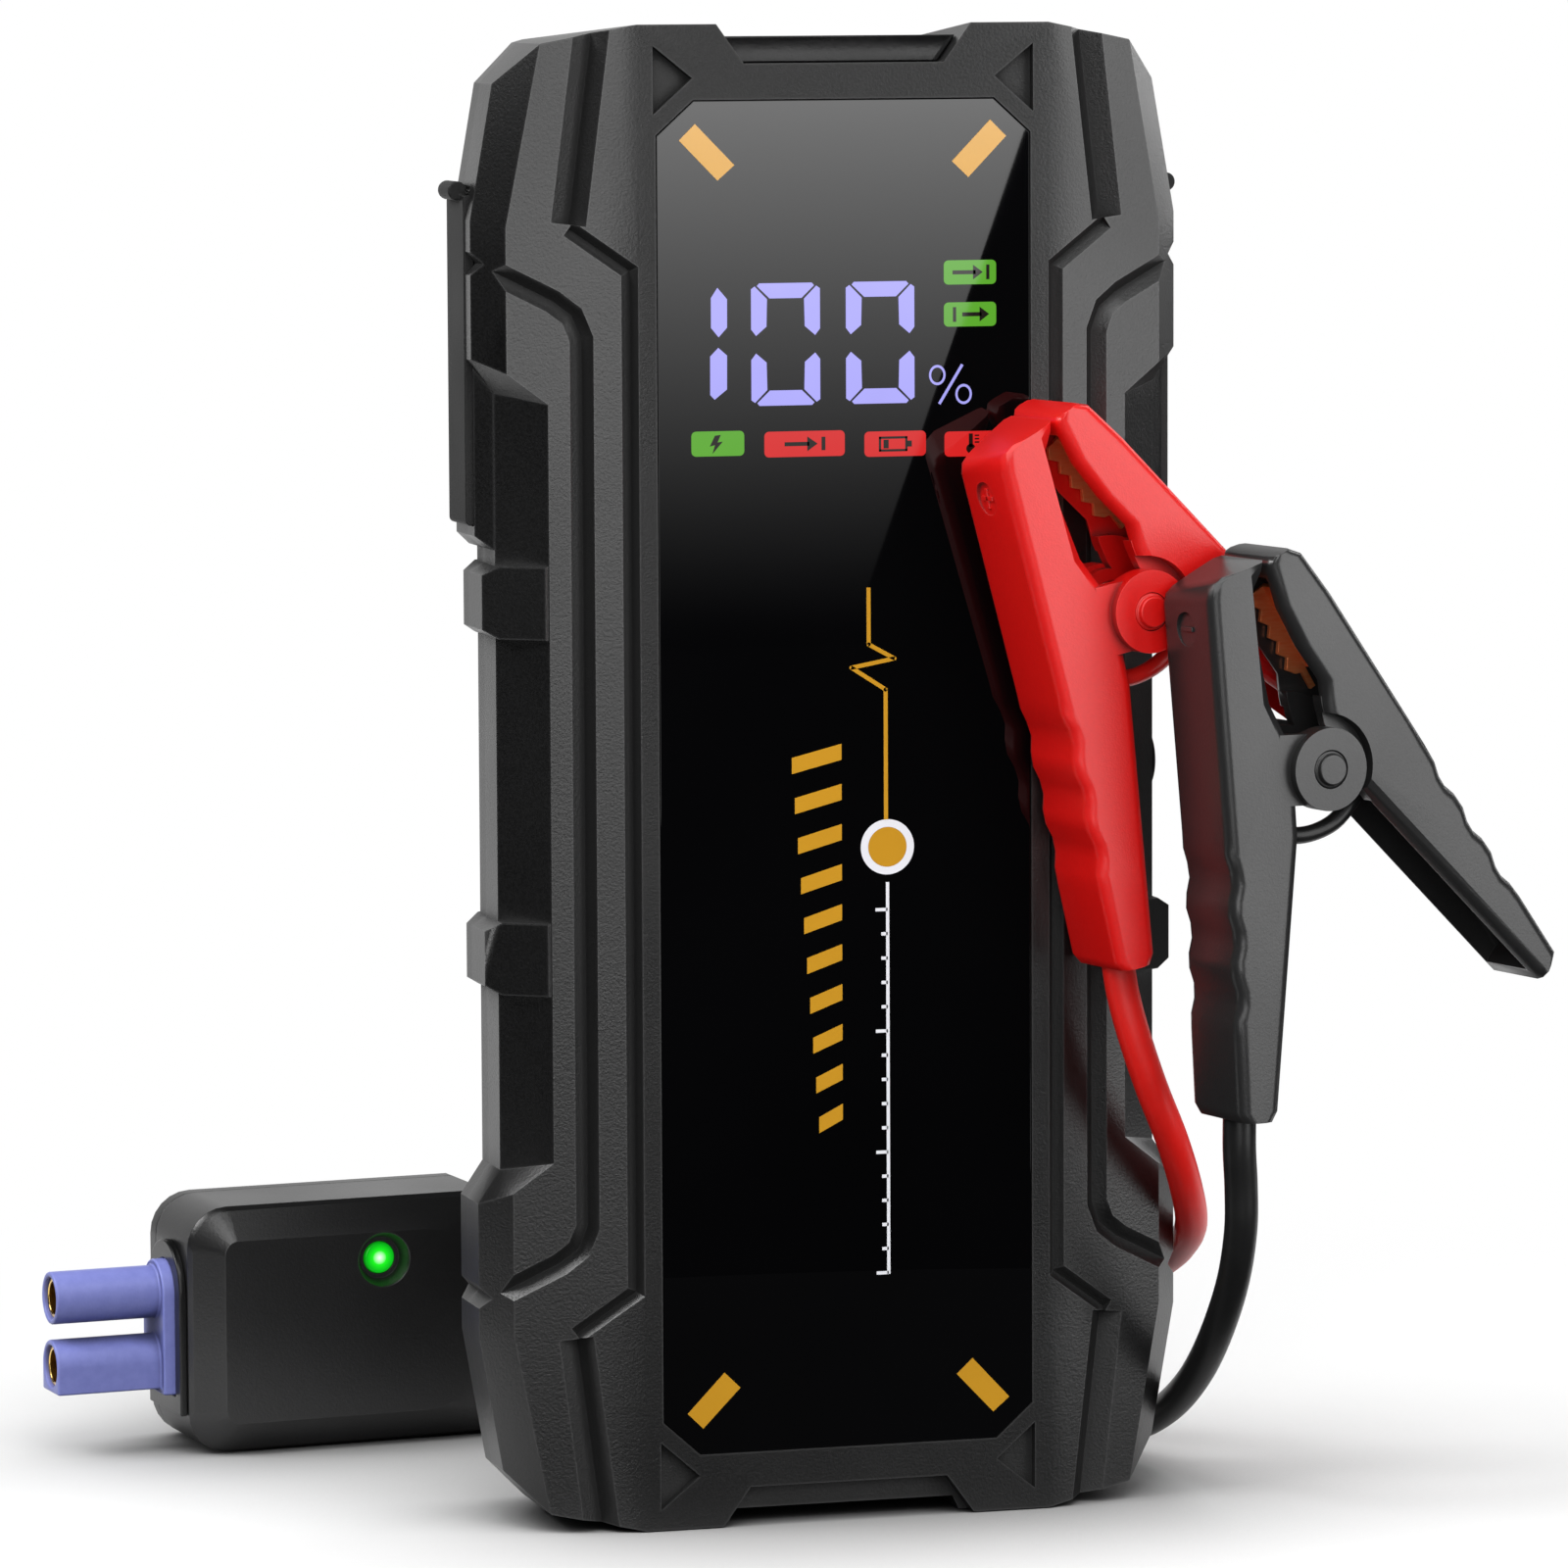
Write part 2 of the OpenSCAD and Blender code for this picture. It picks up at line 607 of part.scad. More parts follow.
module torch_led() {
    color("#e8e4c8") translate([0, 0, torch_low]) cylinder(h = 1, r = torch_r);
    color("#f4e08a") translate([-1.3, -1.3, torch_low + 1]) cube([2.6, 2.6, 0.4]);
    color("#303236") translate([0, 0, pack_h - end_wall]) cylinder(h = torch_low - pack_h + end_wall, r = torch_r);
}

// ---------- sockets, flaps and button ----------

module usb_a_ports() {
    for (z = usb_a_z) {
        color("#c4c7cc") difference() {
            depth_box([-pocket_floor, -pocket_floor + 14], [flap_mid - usb_a_deep / 2, flap_mid + usb_a_deep / 2],
                [z - usb_a_tall / 2, z + usb_a_tall / 2]);
            depth_box([-pocket_floor - 1, -pocket_floor + 13.4],
                [flap_mid - usb_a_deep / 2 + 0.4, flap_mid + usb_a_deep / 2 - 0.4],
                [z - usb_a_tall / 2 + 0.4, z + usb_a_tall / 2 - 0.4]);
        }
        color("#f2f2f2") depth_box([-pocket_floor + 1, -pocket_floor + 13.4],
            [flap_mid + usb_a_deep / 2 - 2.2, flap_mid + usb_a_deep / 2 - 0.4], [z - 5, z + 5]);
    }
}

module round_slot(tall, deep) {
    for (s = [-1, 1]) translate([0, s * (tall - deep) / 2]) circle(d = deep, $fn = 24);
    square([deep, tall - deep], center = true);
}

// The outline of the jump plug: round above, square below
module plug_outline(tall, deep) {
    round_slot(tall, deep);
    translate([-deep / 2, -tall / 2]) square([deep, tall / 2]);
}

module usb_c_port() {
    color("#c4c7cc") translate([-pocket_floor, y_at(flap_mid), usb_c_z]) rotate([90, 0, 90]) {
        difference() {
            linear_extrude(8) round_slot(usb_c_tall, usb_c_deep);
            translate([0, 0, -1]) linear_extrude(8) round_slot(usb_c_tall - 0.7, usb_c_deep - 0.7);
        }
        translate([-0.35, -3, 1]) cube([0.7, 6, 6.5]);
        translate([-1, -3, 8]) cube([port_board_depth - flap_mid + 1, 6, 2]);
    }
}

module jump_socket() {
    color("#4a58c8") difference() {
        depth_box([pocket_floor - socket_len, pocket_floor], [flap_mid - socket_deep / 2, flap_mid + socket_deep / 2],
            [socket_z - socket_tall / 2, socket_z + socket_tall / 2]);
        translate([pocket_floor - 15, y_at(flap_mid), socket_z]) rotate([90, 0, 90]) linear_extrude(20)
            round_slot(barrel_gap + 2 * barrel_r + 0.6, 2 * barrel_r + 0.5);
        for (s = [-1, 1]) translate([pocket_floor - 20, y_at(flap_mid), socket_z + s * barrel_gap / 2])
            rotate([0, 90, 0]) cylinder(h = 10, r = pin_r + run_fit);
    }
}

module jump_socket_pins() {
    color("#d9a441") for (s = [-1, 1])
        translate([pocket_floor - socket_len - 2, y_at(flap_mid), socket_z + s * barrel_gap / 2]) rotate([0, 90, 0]) {
            cylinder(h = 2, r = pin_r + 0.6);
            cylinder(h = socket_len, r = pin_r);
        }
}

module power_button() {
    color("#3a3b3e") translate([button_inner, y_at(side_mid), button_z]) rotate([0, 90, 0]) {
        cylinder(h = 1.2, r = button_r + button_flange);
        cylinder(h = body_half + 0.9 - button_inner, r = button_r);
    }
}

module side_flap() {
    x0 = pocket_floor;
    d0 = flap_mid - flap_w / 2;
    color("#222326") {
        depth_box([x0, x0 + flap_t], [d0, d0 + flap_w], [flap_hinge_z, pocket_z + flap_len]);
        translate([x0 + flap_t / 2, y_at(d0 + flap_w), flap_hinge_z]) rotate([90, 0, 0])
            cylinder(h = flap_w, r = flap_t / 2, $fn = 24);
        translate([tab_x, y_at(flap_mid) + flap_w / 2 - 2, tab_z]) rotate([90, 0, 0])
            cylinder(h = flap_w - 4, r = tab_r, $fn = 24);
    }
}

module port_flap() {
    mirror([1, 0, 0]) side_flap();
}

module jump_flap() {
    side_flap();
}

// ---------- clamps ----------

clamp_gap = 1.9;    // clearance from the bezel edge to the red clamp's back
pin_out = 0.8;      // how far the button of a pivot pin stands out of its disc
stack_step = clamp_t + disc_out + pin_out + shell_gap;
clamp_front = [sin(clamp_yaw), -cos(clamp_yaw), 0];
clamp_back_point = [bezel_half, front_y - clamp_gap, 0];
red_mid = clamp_back_point + clamp_front * clamp_t / 2;
black_mid = red_mid + clamp_front * stack_step;
red_pivot_x = 40.5;
black_pivot_x = 64;
function pivot_at(x, mid, z) = [x, mid.y + (x - mid.x) * tan(clamp_yaw), z];
red_pivot = pivot_at(red_pivot_x, red_mid, red_pivot_z);
black_pivot = pivot_at(black_pivot_x, black_mid, black_pivot_z);

// Local clamp frame: pivot along y, jaws towards +z, fixed arm on the left
module place_clamp(pivot, lean) {
    translate(pivot) rotate([0, 0, clamp_yaw]) rotate([0, -lean, 0]) children();
}
function clamp_point(pivot, lean, p) = let (x = p.x * cos(lean) - p.z * sin(lean), z = p.x * sin(lean) + p.z * cos(lean))
    pivot + [x * cos(clamp_yaw) - p.y * sin(clamp_yaw), x * sin(clamp_yaw) + p.y * cos(clamp_yaw), z];

// A loft through stations [inner x, inner z, outer x, outer z], with rounded edges
function station_ring(s, half, r) = let (a = [s[0], s[1]], b = [s[2], s[3]], long = norm(b - a), dir = (b - a) / long,
    e = min(r, long / 2 - 0.05))
    [for (c = [[e, -half + e, 180], [long - e, -half + e, 270], [long - e, half - e, 0], [e, half - e, 90]])
        for (k = [0, 45, 90]) let (u = c[0] + e * cos(c[2] + k), v = c[1] + e * sin(c[2] + k), q = a + dir * u)
            [q.x, v, q.y]];
module loft(stations, half, r) {
    n = 12;
    rings = [for (s = stations) each station_ring(s, half, r)];
    last = (len(stations) - 1) * n;
    walls = [for (i = [0:len(stations) - 2]) for (k = [0:n - 1])
        let (a = i * n + k, b = i * n + (k + 1) % n)
            for (f = [[a, b, a + n], [b, b + n, a + n]]) f];
    caps = [[for (k = [n - 1:-1:0]) k], [for (k = [0:n - 1]) last + k]];
    polyhedron(rings, concat(walls, caps), convexity = 8);
}

grip_pitch = 8.7;
grip_depth = 0.9;
function grip(s, first) = s < first - grip_pitch / 2 || s > first + 2.5 * grip_pitch ? 0 :
    grip_depth * (0.5 + 0.5 * cos(360 * (s - first) / grip_pitch));

arm_end = -52.2;
handle_steps = 18;
fixed_stations = concat(
    [[-18.6, 28.2, -14, 29.5], [-19.9, 27.2, -13.2, 28.9], [-20, 25, -12.6, 25.6], [-18.4, 10, -9, 10],
        [-17.8, 3, -6.4, 5.4], [-17.2, -4, -4.6, -3]],
    [for (i = [0:handle_steps]) let (z = -10 + (arm_end + 11.6) * i / handle_steps)
        [lookup(z, [[arm_end, -14.3], [-10, -16.6]]) + grip(-z, 16.2), z, lookup(z, [[arm_end, -7.6], [-10, -4.1]]), z]],
    [[-13.4, arm_end, -8.4, arm_end]]);

moving_jaw = [[-9, 31.6, -5.8, 32.8], [-9.6, 30.1, -3.4, 32], [-7.6, 24.1, 1.4, 26.1], [-4.2, 18.2, 6, 19.7],
    [-0.3, 13.1, 10.2, 13.9], [0.2, 9.4, 13, 9.9], [1, 6.5, 15.2, 6.8], [3.5, 1.5, 17.2, 4]];
handle_in = [[9.7, -6.1], [37.4, -33]];
handle_out = [[18.6, 2.1], [41.3, -29.6]];
handle_span = norm(handle_out[1] - handle_out[0]);
function along(pair, t) = pair[0] + (pair[1] - pair[0]) * t;
moving_handle = [for (i = [0:handle_steps]) let (t = i / handle_steps, a = along(handle_in, t),
    b = along(handle_out, t), back = unit(a - b) * grip(t * handle_span, 5.5)) [a.x, a.y, b.x + back.x, b.y + back.y]];
moving_stations = concat(moving_jaw, [[6.5, -2.8, 18, 3]], moving_handle, [[38.6, -34, 40.6, -31.6]]);

cheek_in = clamp_t / 2 - arm_wall;
ear_out = cheek_in - 0.15;
ear_t = 1.8;
ear_r = 5.6;
ring_r = disc_r + 2;
pin_head_r = 2.8;
pin_head_t = 0.9;
pin_button_r = 2.3;

module y_disc(r, y0, y1, sides = 48) {
    translate([0, y1, 0]) rotate([90, 0, 0]) cylinder(h = y1 - y0, r = r, $fn = sides);
}

// The same disc on the front and the back of a clamp, between two distances from its middle
module both_faces(r, near, far) {
    y_disc(r, near, far);
    y_disc(r, -far, -near);
}

module fixed_arm(paint) {
    hollow = [[-17.6, 26.4, -4, 27], [-16.4, 10, -2, 10], [-15.6, 0, 4, 0], [-14.6, -12, 4, -12], [-13.4, -14, -2, -14]];
    color(paint) difference() {
        union() {
            loft(fixed_stations, clamp_t / 2, 1.8);
            both_faces(disc_r, cheek_in, clamp_t / 2 + disc_out);
            for (y = [-clamp_t / 2, cheek_in]) translate([-8, y, 0.9 - disc_r])
                cube([6, arm_wall, 2 * disc_r - 1.8]);
        }
        loft(hollow, cheek_in, 0.8);
        y_disc(pivot_r + run_fit, -20, 20, 32);
        both_faces(pin_head_r + fit, clamp_t / 2 + disc_out - pin_head_t, clamp_t);
        translate([-21.4, 0, 21]) rotate([0, 90, 0]) cylinder(h = 2.2, r = 2.6, $fn = 32);
    }
}

module moving_arm(paint) {
    inner = concat([[-9.4, 28.4, -6, 29.2], [-10.6, 24, -0.4, 25.4], [-7, 17.6, 4.1, 19.4], [-3, 12.6, 8.2, 13.6],
        [-2, 7, 11.4, 9.4], [-1, 2, 14.4, 4.6]], [[5, -9.4, 17, 0.4], [18, -21, 25.2, -10.6], [34, -36.4, 38.8, -29.8]]);
    color(paint) difference() {
        union() {
            difference() {
                loft(moving_stations, clamp_t / 2, 1.8);
                loft(inner, cheek_in - 0.1, 0.8);
            }
            intersection() {
                loft(moving_stations, clamp_t / 2, 0.4);
                both_faces(ring_r + 2.4, ear_out - ear_t, cheek_in + 0.4);
            }
            both_faces(ear_r, ear_out - ear_t, ear_out);
        }
        both_faces(ring_r, ear_out, clamp_t);
        y_disc(pivot_r + run_fit, -20, 20, 32);
    }
}

module pivot_pin(paint) {
    half = clamp_t / 2 + disc_out;
    color(paint) {
        y_disc(pivot_r, -half, half, 32);
        both_faces(pin_head_r, half - pin_head_t, half);
        y_disc(pin_button_r, -half - pin_out, -half + pin_head_t / 2, 32);
    }
}

coil_r = 3.4;
coil_pitch = spring_wire + 0.5;
coil_turn = 3 * 360 + 74;    // the legs leave the coil on a tangent
coil_steps = 26;
coil_half = coil_pitch * coil_turn / 720;
function spring_path() = concat([[-13.6, -coil_half, -13], [-8.2, -coil_half, -5.5]],
    [for (i = [0:coil_steps]) let (a = 144 - coil_turn * i / coil_steps)
        [coil_r * cos(a), coil_half * (2 * i / coil_steps - 1), coil_r * sin(a)]],
    [[7, coil_half, 1.1], [13, coil_half, -1.2], [20.2, coil_half, -5.6], [23, coil_half, -9.3]]);
// Least distance between points of the wire that lie half a curl or more apart
function wire_gap(p, skip) = min([for (i = [0:len(p) - 1]) for (j = [i + skip:1:len(p) - 1])
    norm(p[i] - p[j])]) - spring_wire;
echo(str("spring wire gap to itself ", wire_gap(spring_path(), 5), " mm"));

module spring() {
    color("#b8bbc0") swept_tube(spring_path(), spring_wire / 2, 6, [0, 1, 0]);
}

tooth_pitch = 2.9;
tooth_h = 1.1;
plate_depth = 2;    // from the roots of the teeth to the base of the plate
// A toothed copper channel: it runs along local z, with its teeth towards local +x
module jaw_plate(n, tail) {
    run = n * tooth_pitch;
    half = cheek_in - 0.35;
    color("#b4622d") {
        for (y = [-half, half - plate_t]) translate([0, y + plate_t, 0]) rotate([90, 0, 0]) linear_extrude(plate_t)
            polygon(concat([[-plate_depth, -tail], [-plate_depth, run], [0, run]],
                [for (i = [n - 1:-1:0]) each [[tooth_h, (i + 0.5) * tooth_pitch], [0, i * tooth_pitch]]],
                [[1 - plate_depth, -0.4], [1 - plate_depth, -tail]]));
        translate([-plate_depth - plate_t, -half, 0]) cube([plate_t, 2 * half, run]);
        translate([-plate_depth, 0, run * 0.55]) rotate([0, 90, 0]) cylinder(h = 0.6, r = 1.5, $fn = 24);
    }
}

module fixed_jaw() {
    translate([-10, 0, 11]) rotate([0, -12, 0]) jaw_plate(5, 2);
}

module moving_jaw_plate() {
    translate([2.2, 0, 13]) rotate([0, -31.5, 0]) mirror([1, 0, 0]) jaw_plate(5, 3.4);
}

module bridge_wire(paint) {
    color(paint) swept_tube(smooth([[-9, 0, -4], [-8, 0, -7.4], [-4, 0, -10], [1, 0, -10.6], [6, 0, -9],
        [9.6, 0, -5.4]], 3), 1.3, 8, [0, 1, 0]);
}

// ---------- lead module and leads ----------

module_at = [-83.5, 60.5];
module_yaw = 6;
module_split = 20;
module_board_v = 13;
module_corner_r = 6.5;
plateau_in = 5;        // width of the bevel round the raised front
plateau_rise = 3;      // depth of that bevel
neck_len = 17;
plug_z = module_h / 2;
lamp_at = [31.3, 29.5];
lamp_sink = 2.2;
lamp_r = 2.5;
lamp_back = 6;
gland_r = 4;
lead_exit_v = 15.5;
lead_exit_w = [9, 21];
contact_r = 3.2;
contact_bore = 2.5;
module place_module() {
    translate([module_at.x, module_at.y, 0]) rotate([0, 0, module_yaw]) children();
}
function module_point(u, v, w) = [module_at.x + u * cos(module_yaw) - v * sin(module_yaw),
    module_at.y + u * sin(module_yaw) + v * cos(module_yaw), w];

function corner_arc(cx, cz, r, a0) = [for (k = [0:6]) [cx + r * cos(a0 + 15 * k), cz + r * sin(a0 + 15 * k)]];

// A rectangle with one corner radius at the plug end and another at the neck end
module rounded_panel(inset, right, r, neck_r) {
    top = module_h - inset;
    polygon(concat(corner_arc(inset + r, top - r, r, 90), corner_arc(inset + r, inset + r, r, 180),
        corner_arc(right - neck_r, inset + neck_r, neck_r, 270), corner_arc(right - neck_r, top - neck_r, neck_r, 0)));
}
module module_outline(inset) {
    r = module_corner_r - inset * 0.4;
    polygon(concat(corner_arc(inset + r, module_h - inset - r, r, 90), corner_arc(inset + r, inset + r, r, 180),
        [[module_len - inset * 2.2, inset], [module_len + 3 - inset * 2.2, inset + 5],
            [module_len + 3 - inset * 2.2, module_h - 10 - inset], [module_len - 5 - inset * 2.2, module_h - inset]]));
}
module upright(v0, v1) {
    translate([0, v1, 0]) rotate([90, 0, 0]) linear_extrude(v1 - v0) children();
}

// Outer form of the module: raised front panel, rounded ends and a tapered neck
module module_form() {
    hull() {
        upright(0, 0.4) rounded_panel(plateau_in, module_len - 7.6, 2.2, 9);
        upright(plateau_rise, plateau_rise + 0.5) module_outline(0.6);
        upright(plateau_rise + 1, module_t - 2) module_outline(0);
        upright(module_t - 0.4, module_t) module_outline(2);
    }
    hull() {
        upright(7, module_t - 1.5) translate([module_len - 8, 1.2]) square([9, module_h - 4]);
        translate([module_len + neck_len - 1, 8.5, 3]) cube([1, 14.5, 24]);
    }
}

module module_hollow() {
    upright(module_wall + 1.8, module_t - module_wall)
        rounded_panel(module_wall, module_len - module_wall, module_corner_r - module_wall, 1);
}

module_screw_at = [[9, 6.5], [9, module_h - 6.5], [module_len - 8, 6.5], [module_len - 8, module_h - 6.5]];
module at_module_screws() {
    for (p = module_screw_at) translate([p.x, 0, p.y]) children();
}

module module_cuts() {
    translate([-6, module_t / 2, plug_z]) rotate([90, 0, 90]) linear_extrude(10) plug_outline(24.2, 13.2);
    for (w = lead_exit_w) translate([module_len + neck_len - 8, lead_exit_v, w]) rotate([0, 90, 0])
        cylinder(h = 12, r = gland_r + fit, $fn = 32);
}

module module_front_shell() {
    color("#262729") place_module() difference() {
        union() {
            difference() {
                intersection() {
                    module_form();
                    upright(-1, module_split) translate([-5, -1]) square([100, module_h + 2]);
                }
                module_hollow();
            }
            at_module_screws() rotate([-90, 0, 0]) translate([0, 0, 3]) cylinder(h = module_split - 3, r = 2.8);
        }
        translate([lamp_at.x, -1, lamp_at.y]) rotate([-90, 0, 0]) {
            cylinder(h = 8, r = lamp_r + fit);
            cylinder(h = 1 + lamp_sink + 0.3, r1 = 4.7, r2 = 3.3);
        }
        module_cuts();
        at_module_screws() translate([0, module_split + eps, 0]) rotate([90, 0, 0])
            cylinder(h = 8, r = 1.1 + run_fit, $fn = 24);
    }
}

module module_back_shell() {
    color("#242527") place_module() difference() {
        union() {
            difference() {
                intersection() {
                    module_form();
                    upright(module_split, module_t + 1) translate([-5, -1]) square([100, module_h + 2]);
                }
                module_hollow();
            }
            at_module_screws() translate([0, module_split, 0]) rotate([-90, 0, 0])
                cylinder(h = module_t - module_split - 1, r = 2.8);
        }
        module_cuts();
        at_module_screws() translate([0, module_t + 1, 0]) rotate([90, 0, 0]) {
            cylinder(h = module_t, r = 1.4, $fn = 24);
            cylinder(h = 3, r = 2.5, $fn = 32);
        }
    }
}

module module_screws() {
    color("#55585c") place_module() at_module_screws() translate([0, module_t - 2, 0]) {
        rotate([-90, 0, 0]) cylinder(h = 1.5, r = 2.3, $fn = 32);
        rotate([90, 0, 0]) cylinder(h = module_t - 2 - module_split + 7, r = 1.1, $fn = 24);
    }
}

module module_board() {
    color("#1f4d33") place_module() {
        upright(module_board_v, module_board_v + board_t) translate([13, module_wall])
            square([26, module_h - 2 * module_wall]);
        translate([lamp_at.x, lamp_back, lamp_at.y]) rotate([-90, 0, 0])
            cylinder(h = module_board_v - lamp_back, r = 1.5, $fn = 24);
    }
    color("#303236") place_module() for (w = [6, 20]) translate([15, module_board_v + board_t, w]) cube([14, 6, 10]);
}

module module_lamp() {
    flange_t = lamp_back - module_wall - 1.9;
    color("#2fe04a") place_module() translate([lamp_at.x, lamp_back, lamp_at.y]) rotate([90, 0, 0]) {
        cylinder(h = lamp_back - lamp_sink, r = lamp_r);
        cylinder(h = flange_t, r = lamp_r + 0.6);
    }
}

module plug_seat() {
    color("#1a1a1c") place_module() translate([-1.2, module_t / 2, plug_z]) rotate([90, 0, 90]) difference() {
        union() {
            linear_extrude(1.2) plug_outline(27, 16);
            linear_extrude(5) plug_outline(24, 13);
        }
        translate([0, 0, -1]) linear_extrude(8) plug_outline(21.2, 10.7);
    }
}

module plug_housing() {
    flat = barrel_r;
    color("#6c72dc") place_module() translate([0, module_t / 2, plug_z]) rotate([0, -90, 0]) difference() {
        union() {
            translate([0, 0, -6]) rotate([0, 0, -90]) linear_extrude(9) plug_outline(21, 10.5);
            for (s = [-1, 1]) translate([s * barrel_gap / 2, 0, 3]) cylinder(h = barrel_len, r = barrel_r);
            translate([-barrel_gap / 2 - flat, -flat, 3]) cube([flat, 2 * flat, barrel_len]);
        }
        for (s = [-1, 1]) translate([s * barrel_gap / 2, 0, -7]) cylinder(h = barrel_len + 20, r = contact_r + 0.1);
    }
}

module plug_contacts() {
    color("#d9a441") place_module() translate([0, module_t / 2, plug_z]) rotate([0, -90, 0])
        for (s = [-1, 1]) translate([s * barrel_gap / 2, 0, -12]) difference() {
            cylinder(h = barrel_len + 13, r = contact_r);
            translate([0, 0, barrel_len]) cylinder(h = 14, r = contact_bore);
        }
}

module lead_gland() {
    color("#1a1a1c") place_module() for (w = lead_exit_w)
        translate([module_len + neck_len - 7, lead_exit_v, w]) rotate([0, 90, 0]) {
            cylinder(h = 8, r = gland_r);
            translate([0, 0, 8]) cylinder(h = 6, r1 = gland_r + 0.6, r2 = lead_d / 2 + 0.8);
        }
}

gland_end = module_len + neck_len + 7;
lead_in = [-10.3, 0, arm_end];
function lead_start(pivot, lean, drop) = clamp_point(pivot, lean, lead_in + [0, 0, -drop]);
function lead_route(pivot, lean, w, middle) = concat([lead_start(pivot, lean, 0), lead_start(pivot, lean, 5)],
    middle, [module_point(gland_end + 5, lead_exit_v, w), module_point(gland_end, lead_exit_v, w)]);
red_route = lead_route(red_pivot, red_lean, lead_exit_w[1], [[42.5, -24.7, 72.6], [45.4, -24.2, 64.6],
    [49.4, -22, 56.2], [53.4, -17, 48], [56.8, -9.6, 41.2], [58.4, 0, 36.2], [58.6, 10, 32], [57.2, 20, 27.4],
    [53.6, 30, 22.4], [47.6, 40, 17.6], [40, 49.6, 14], [31.4, 58.6, 12.2], [23.6, 66.4, 12.2],
    [17, 73.6, 13.8], [11.4, 80.1, 16.8], [5.6, 83.8, 19.6]]);
black_route = lead_route(black_pivot, 0, lead_exit_w[0], [[54.5, -39, 51], [54.8, -38, 44.4],
    [54.9, -34.4, 36.4], [55, -27.4, 28], [55.6, -17.6, 20.4], [56, -7.4, 14.4], [56, 3, 9.6], [55, 13, 6],
    [52.4, 23, 3.8], [47.6, 33, 2.9], [40.8, 42.6, 2.8], [32.6, 51.8, 2.8], [24.8, 60.4, 2.8],
    [18.6, 69.4, 3], [13.2, 78, 4], [9.3, 81.9, 5.6], [4.2, 84.2, 7.6]]);

module red_lead() {
    color("#d81f1f") swept_tube(smooth(red_route, 2), lead_d / 2, 10, [1, 0, 0]);
}

module black_lead() {
    color("#1c1c1e") swept_tube(smooth(black_route, 2), lead_d / 2, 10, [1, 0, 0]);
}

// ---------- nodes ----------

front_cover();
back_cover();
display_glass();
display_board();
main_board();
port_board();
button_board();
battery_cells();
battery_pads();
cell_tabs();
top_end_piece();
torch_lens();
torch_led();
usb_a_ports();
usb_c_port();
jump_socket();
jump_socket_pins();
power_button();
port_flap();
jump_flap();
cover_screws();
module_front_shell();
module_back_shell();
module_board();
module_lamp();
plug_seat();
plug_housing();
plug_contacts();
module_screws();
lead_gland();
red_lead();
black_lead();
place_clamp(red_pivot, red_lean) fixed_arm("#d81f1f");  // red_fixed_arm
place_clamp(red_pivot, red_lean) moving_arm("#d81f1f");  // red_moving_arm
place_clamp(red_pivot, red_lean) pivot_pin("#c81c1c");  // red_pivot_pin
place_clamp(red_pivot, red_lean) spring();  // red_spring
place_clamp(red_pivot, red_lean) fixed_jaw();  // red_fixed_jaw
place_clamp(red_pivot, red_lean) moving_jaw_plate();  // red_moving_jaw
place_clamp(red_pivot, red_lean) bridge_wire("#d81f1f");  // red_bridge_wire
place_clamp(black_pivot, 0) fixed_arm("#202123");  // black_fixed_arm
place_clamp(black_pivot, 0) moving_arm("#202123");  // black_moving_arm
place_clamp(black_pivot, 0) pivot_pin("#2c2d30");  // black_pivot_pin
place_clamp(black_pivot, 0) spring();  // black_spring
place_clamp(black_pivot, 0) fixed_jaw();  // black_fixed_jaw
place_clamp(black_pivot, 0) moving_jaw_plate();  // black_moving_jaw
place_clamp(black_pivot, 0) bridge_wire("#202123");  // black_bridge_wire
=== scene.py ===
import bpy
import bmesh
import json
from math import sin, cos, pi, radians
from mathutils import Matrix, Vector

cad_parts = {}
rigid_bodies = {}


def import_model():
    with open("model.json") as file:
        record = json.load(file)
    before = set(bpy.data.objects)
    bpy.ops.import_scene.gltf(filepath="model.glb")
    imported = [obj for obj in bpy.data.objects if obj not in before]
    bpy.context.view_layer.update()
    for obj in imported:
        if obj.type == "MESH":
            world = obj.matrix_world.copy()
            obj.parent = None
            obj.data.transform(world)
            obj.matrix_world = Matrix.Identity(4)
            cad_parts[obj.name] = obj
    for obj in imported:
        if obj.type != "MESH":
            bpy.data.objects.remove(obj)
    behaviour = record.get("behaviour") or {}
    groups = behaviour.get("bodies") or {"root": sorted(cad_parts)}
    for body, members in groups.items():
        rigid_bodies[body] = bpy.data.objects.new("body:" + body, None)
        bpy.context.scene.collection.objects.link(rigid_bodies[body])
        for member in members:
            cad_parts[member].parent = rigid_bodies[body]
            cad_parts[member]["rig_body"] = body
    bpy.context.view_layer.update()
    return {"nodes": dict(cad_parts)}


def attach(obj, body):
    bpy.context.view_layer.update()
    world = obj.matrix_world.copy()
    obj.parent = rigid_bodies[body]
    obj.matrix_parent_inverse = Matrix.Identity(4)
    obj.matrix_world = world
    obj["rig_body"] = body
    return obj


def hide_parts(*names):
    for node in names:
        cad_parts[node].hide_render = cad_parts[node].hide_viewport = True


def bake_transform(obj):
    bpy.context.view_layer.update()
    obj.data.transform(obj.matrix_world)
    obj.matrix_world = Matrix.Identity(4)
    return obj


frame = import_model()
scene = bpy.context.scene
scene.view_settings.view_transform = "Standard"
mm = 0.001
print("frame loaded")


# camera

cameraView = {"azimuth": -16.159, "elevation": 5.912, "roll": -0.268, "distance": 1.19866,
              "target": (-0.009746, -0.017, 0.111471), "lens": 185.155}


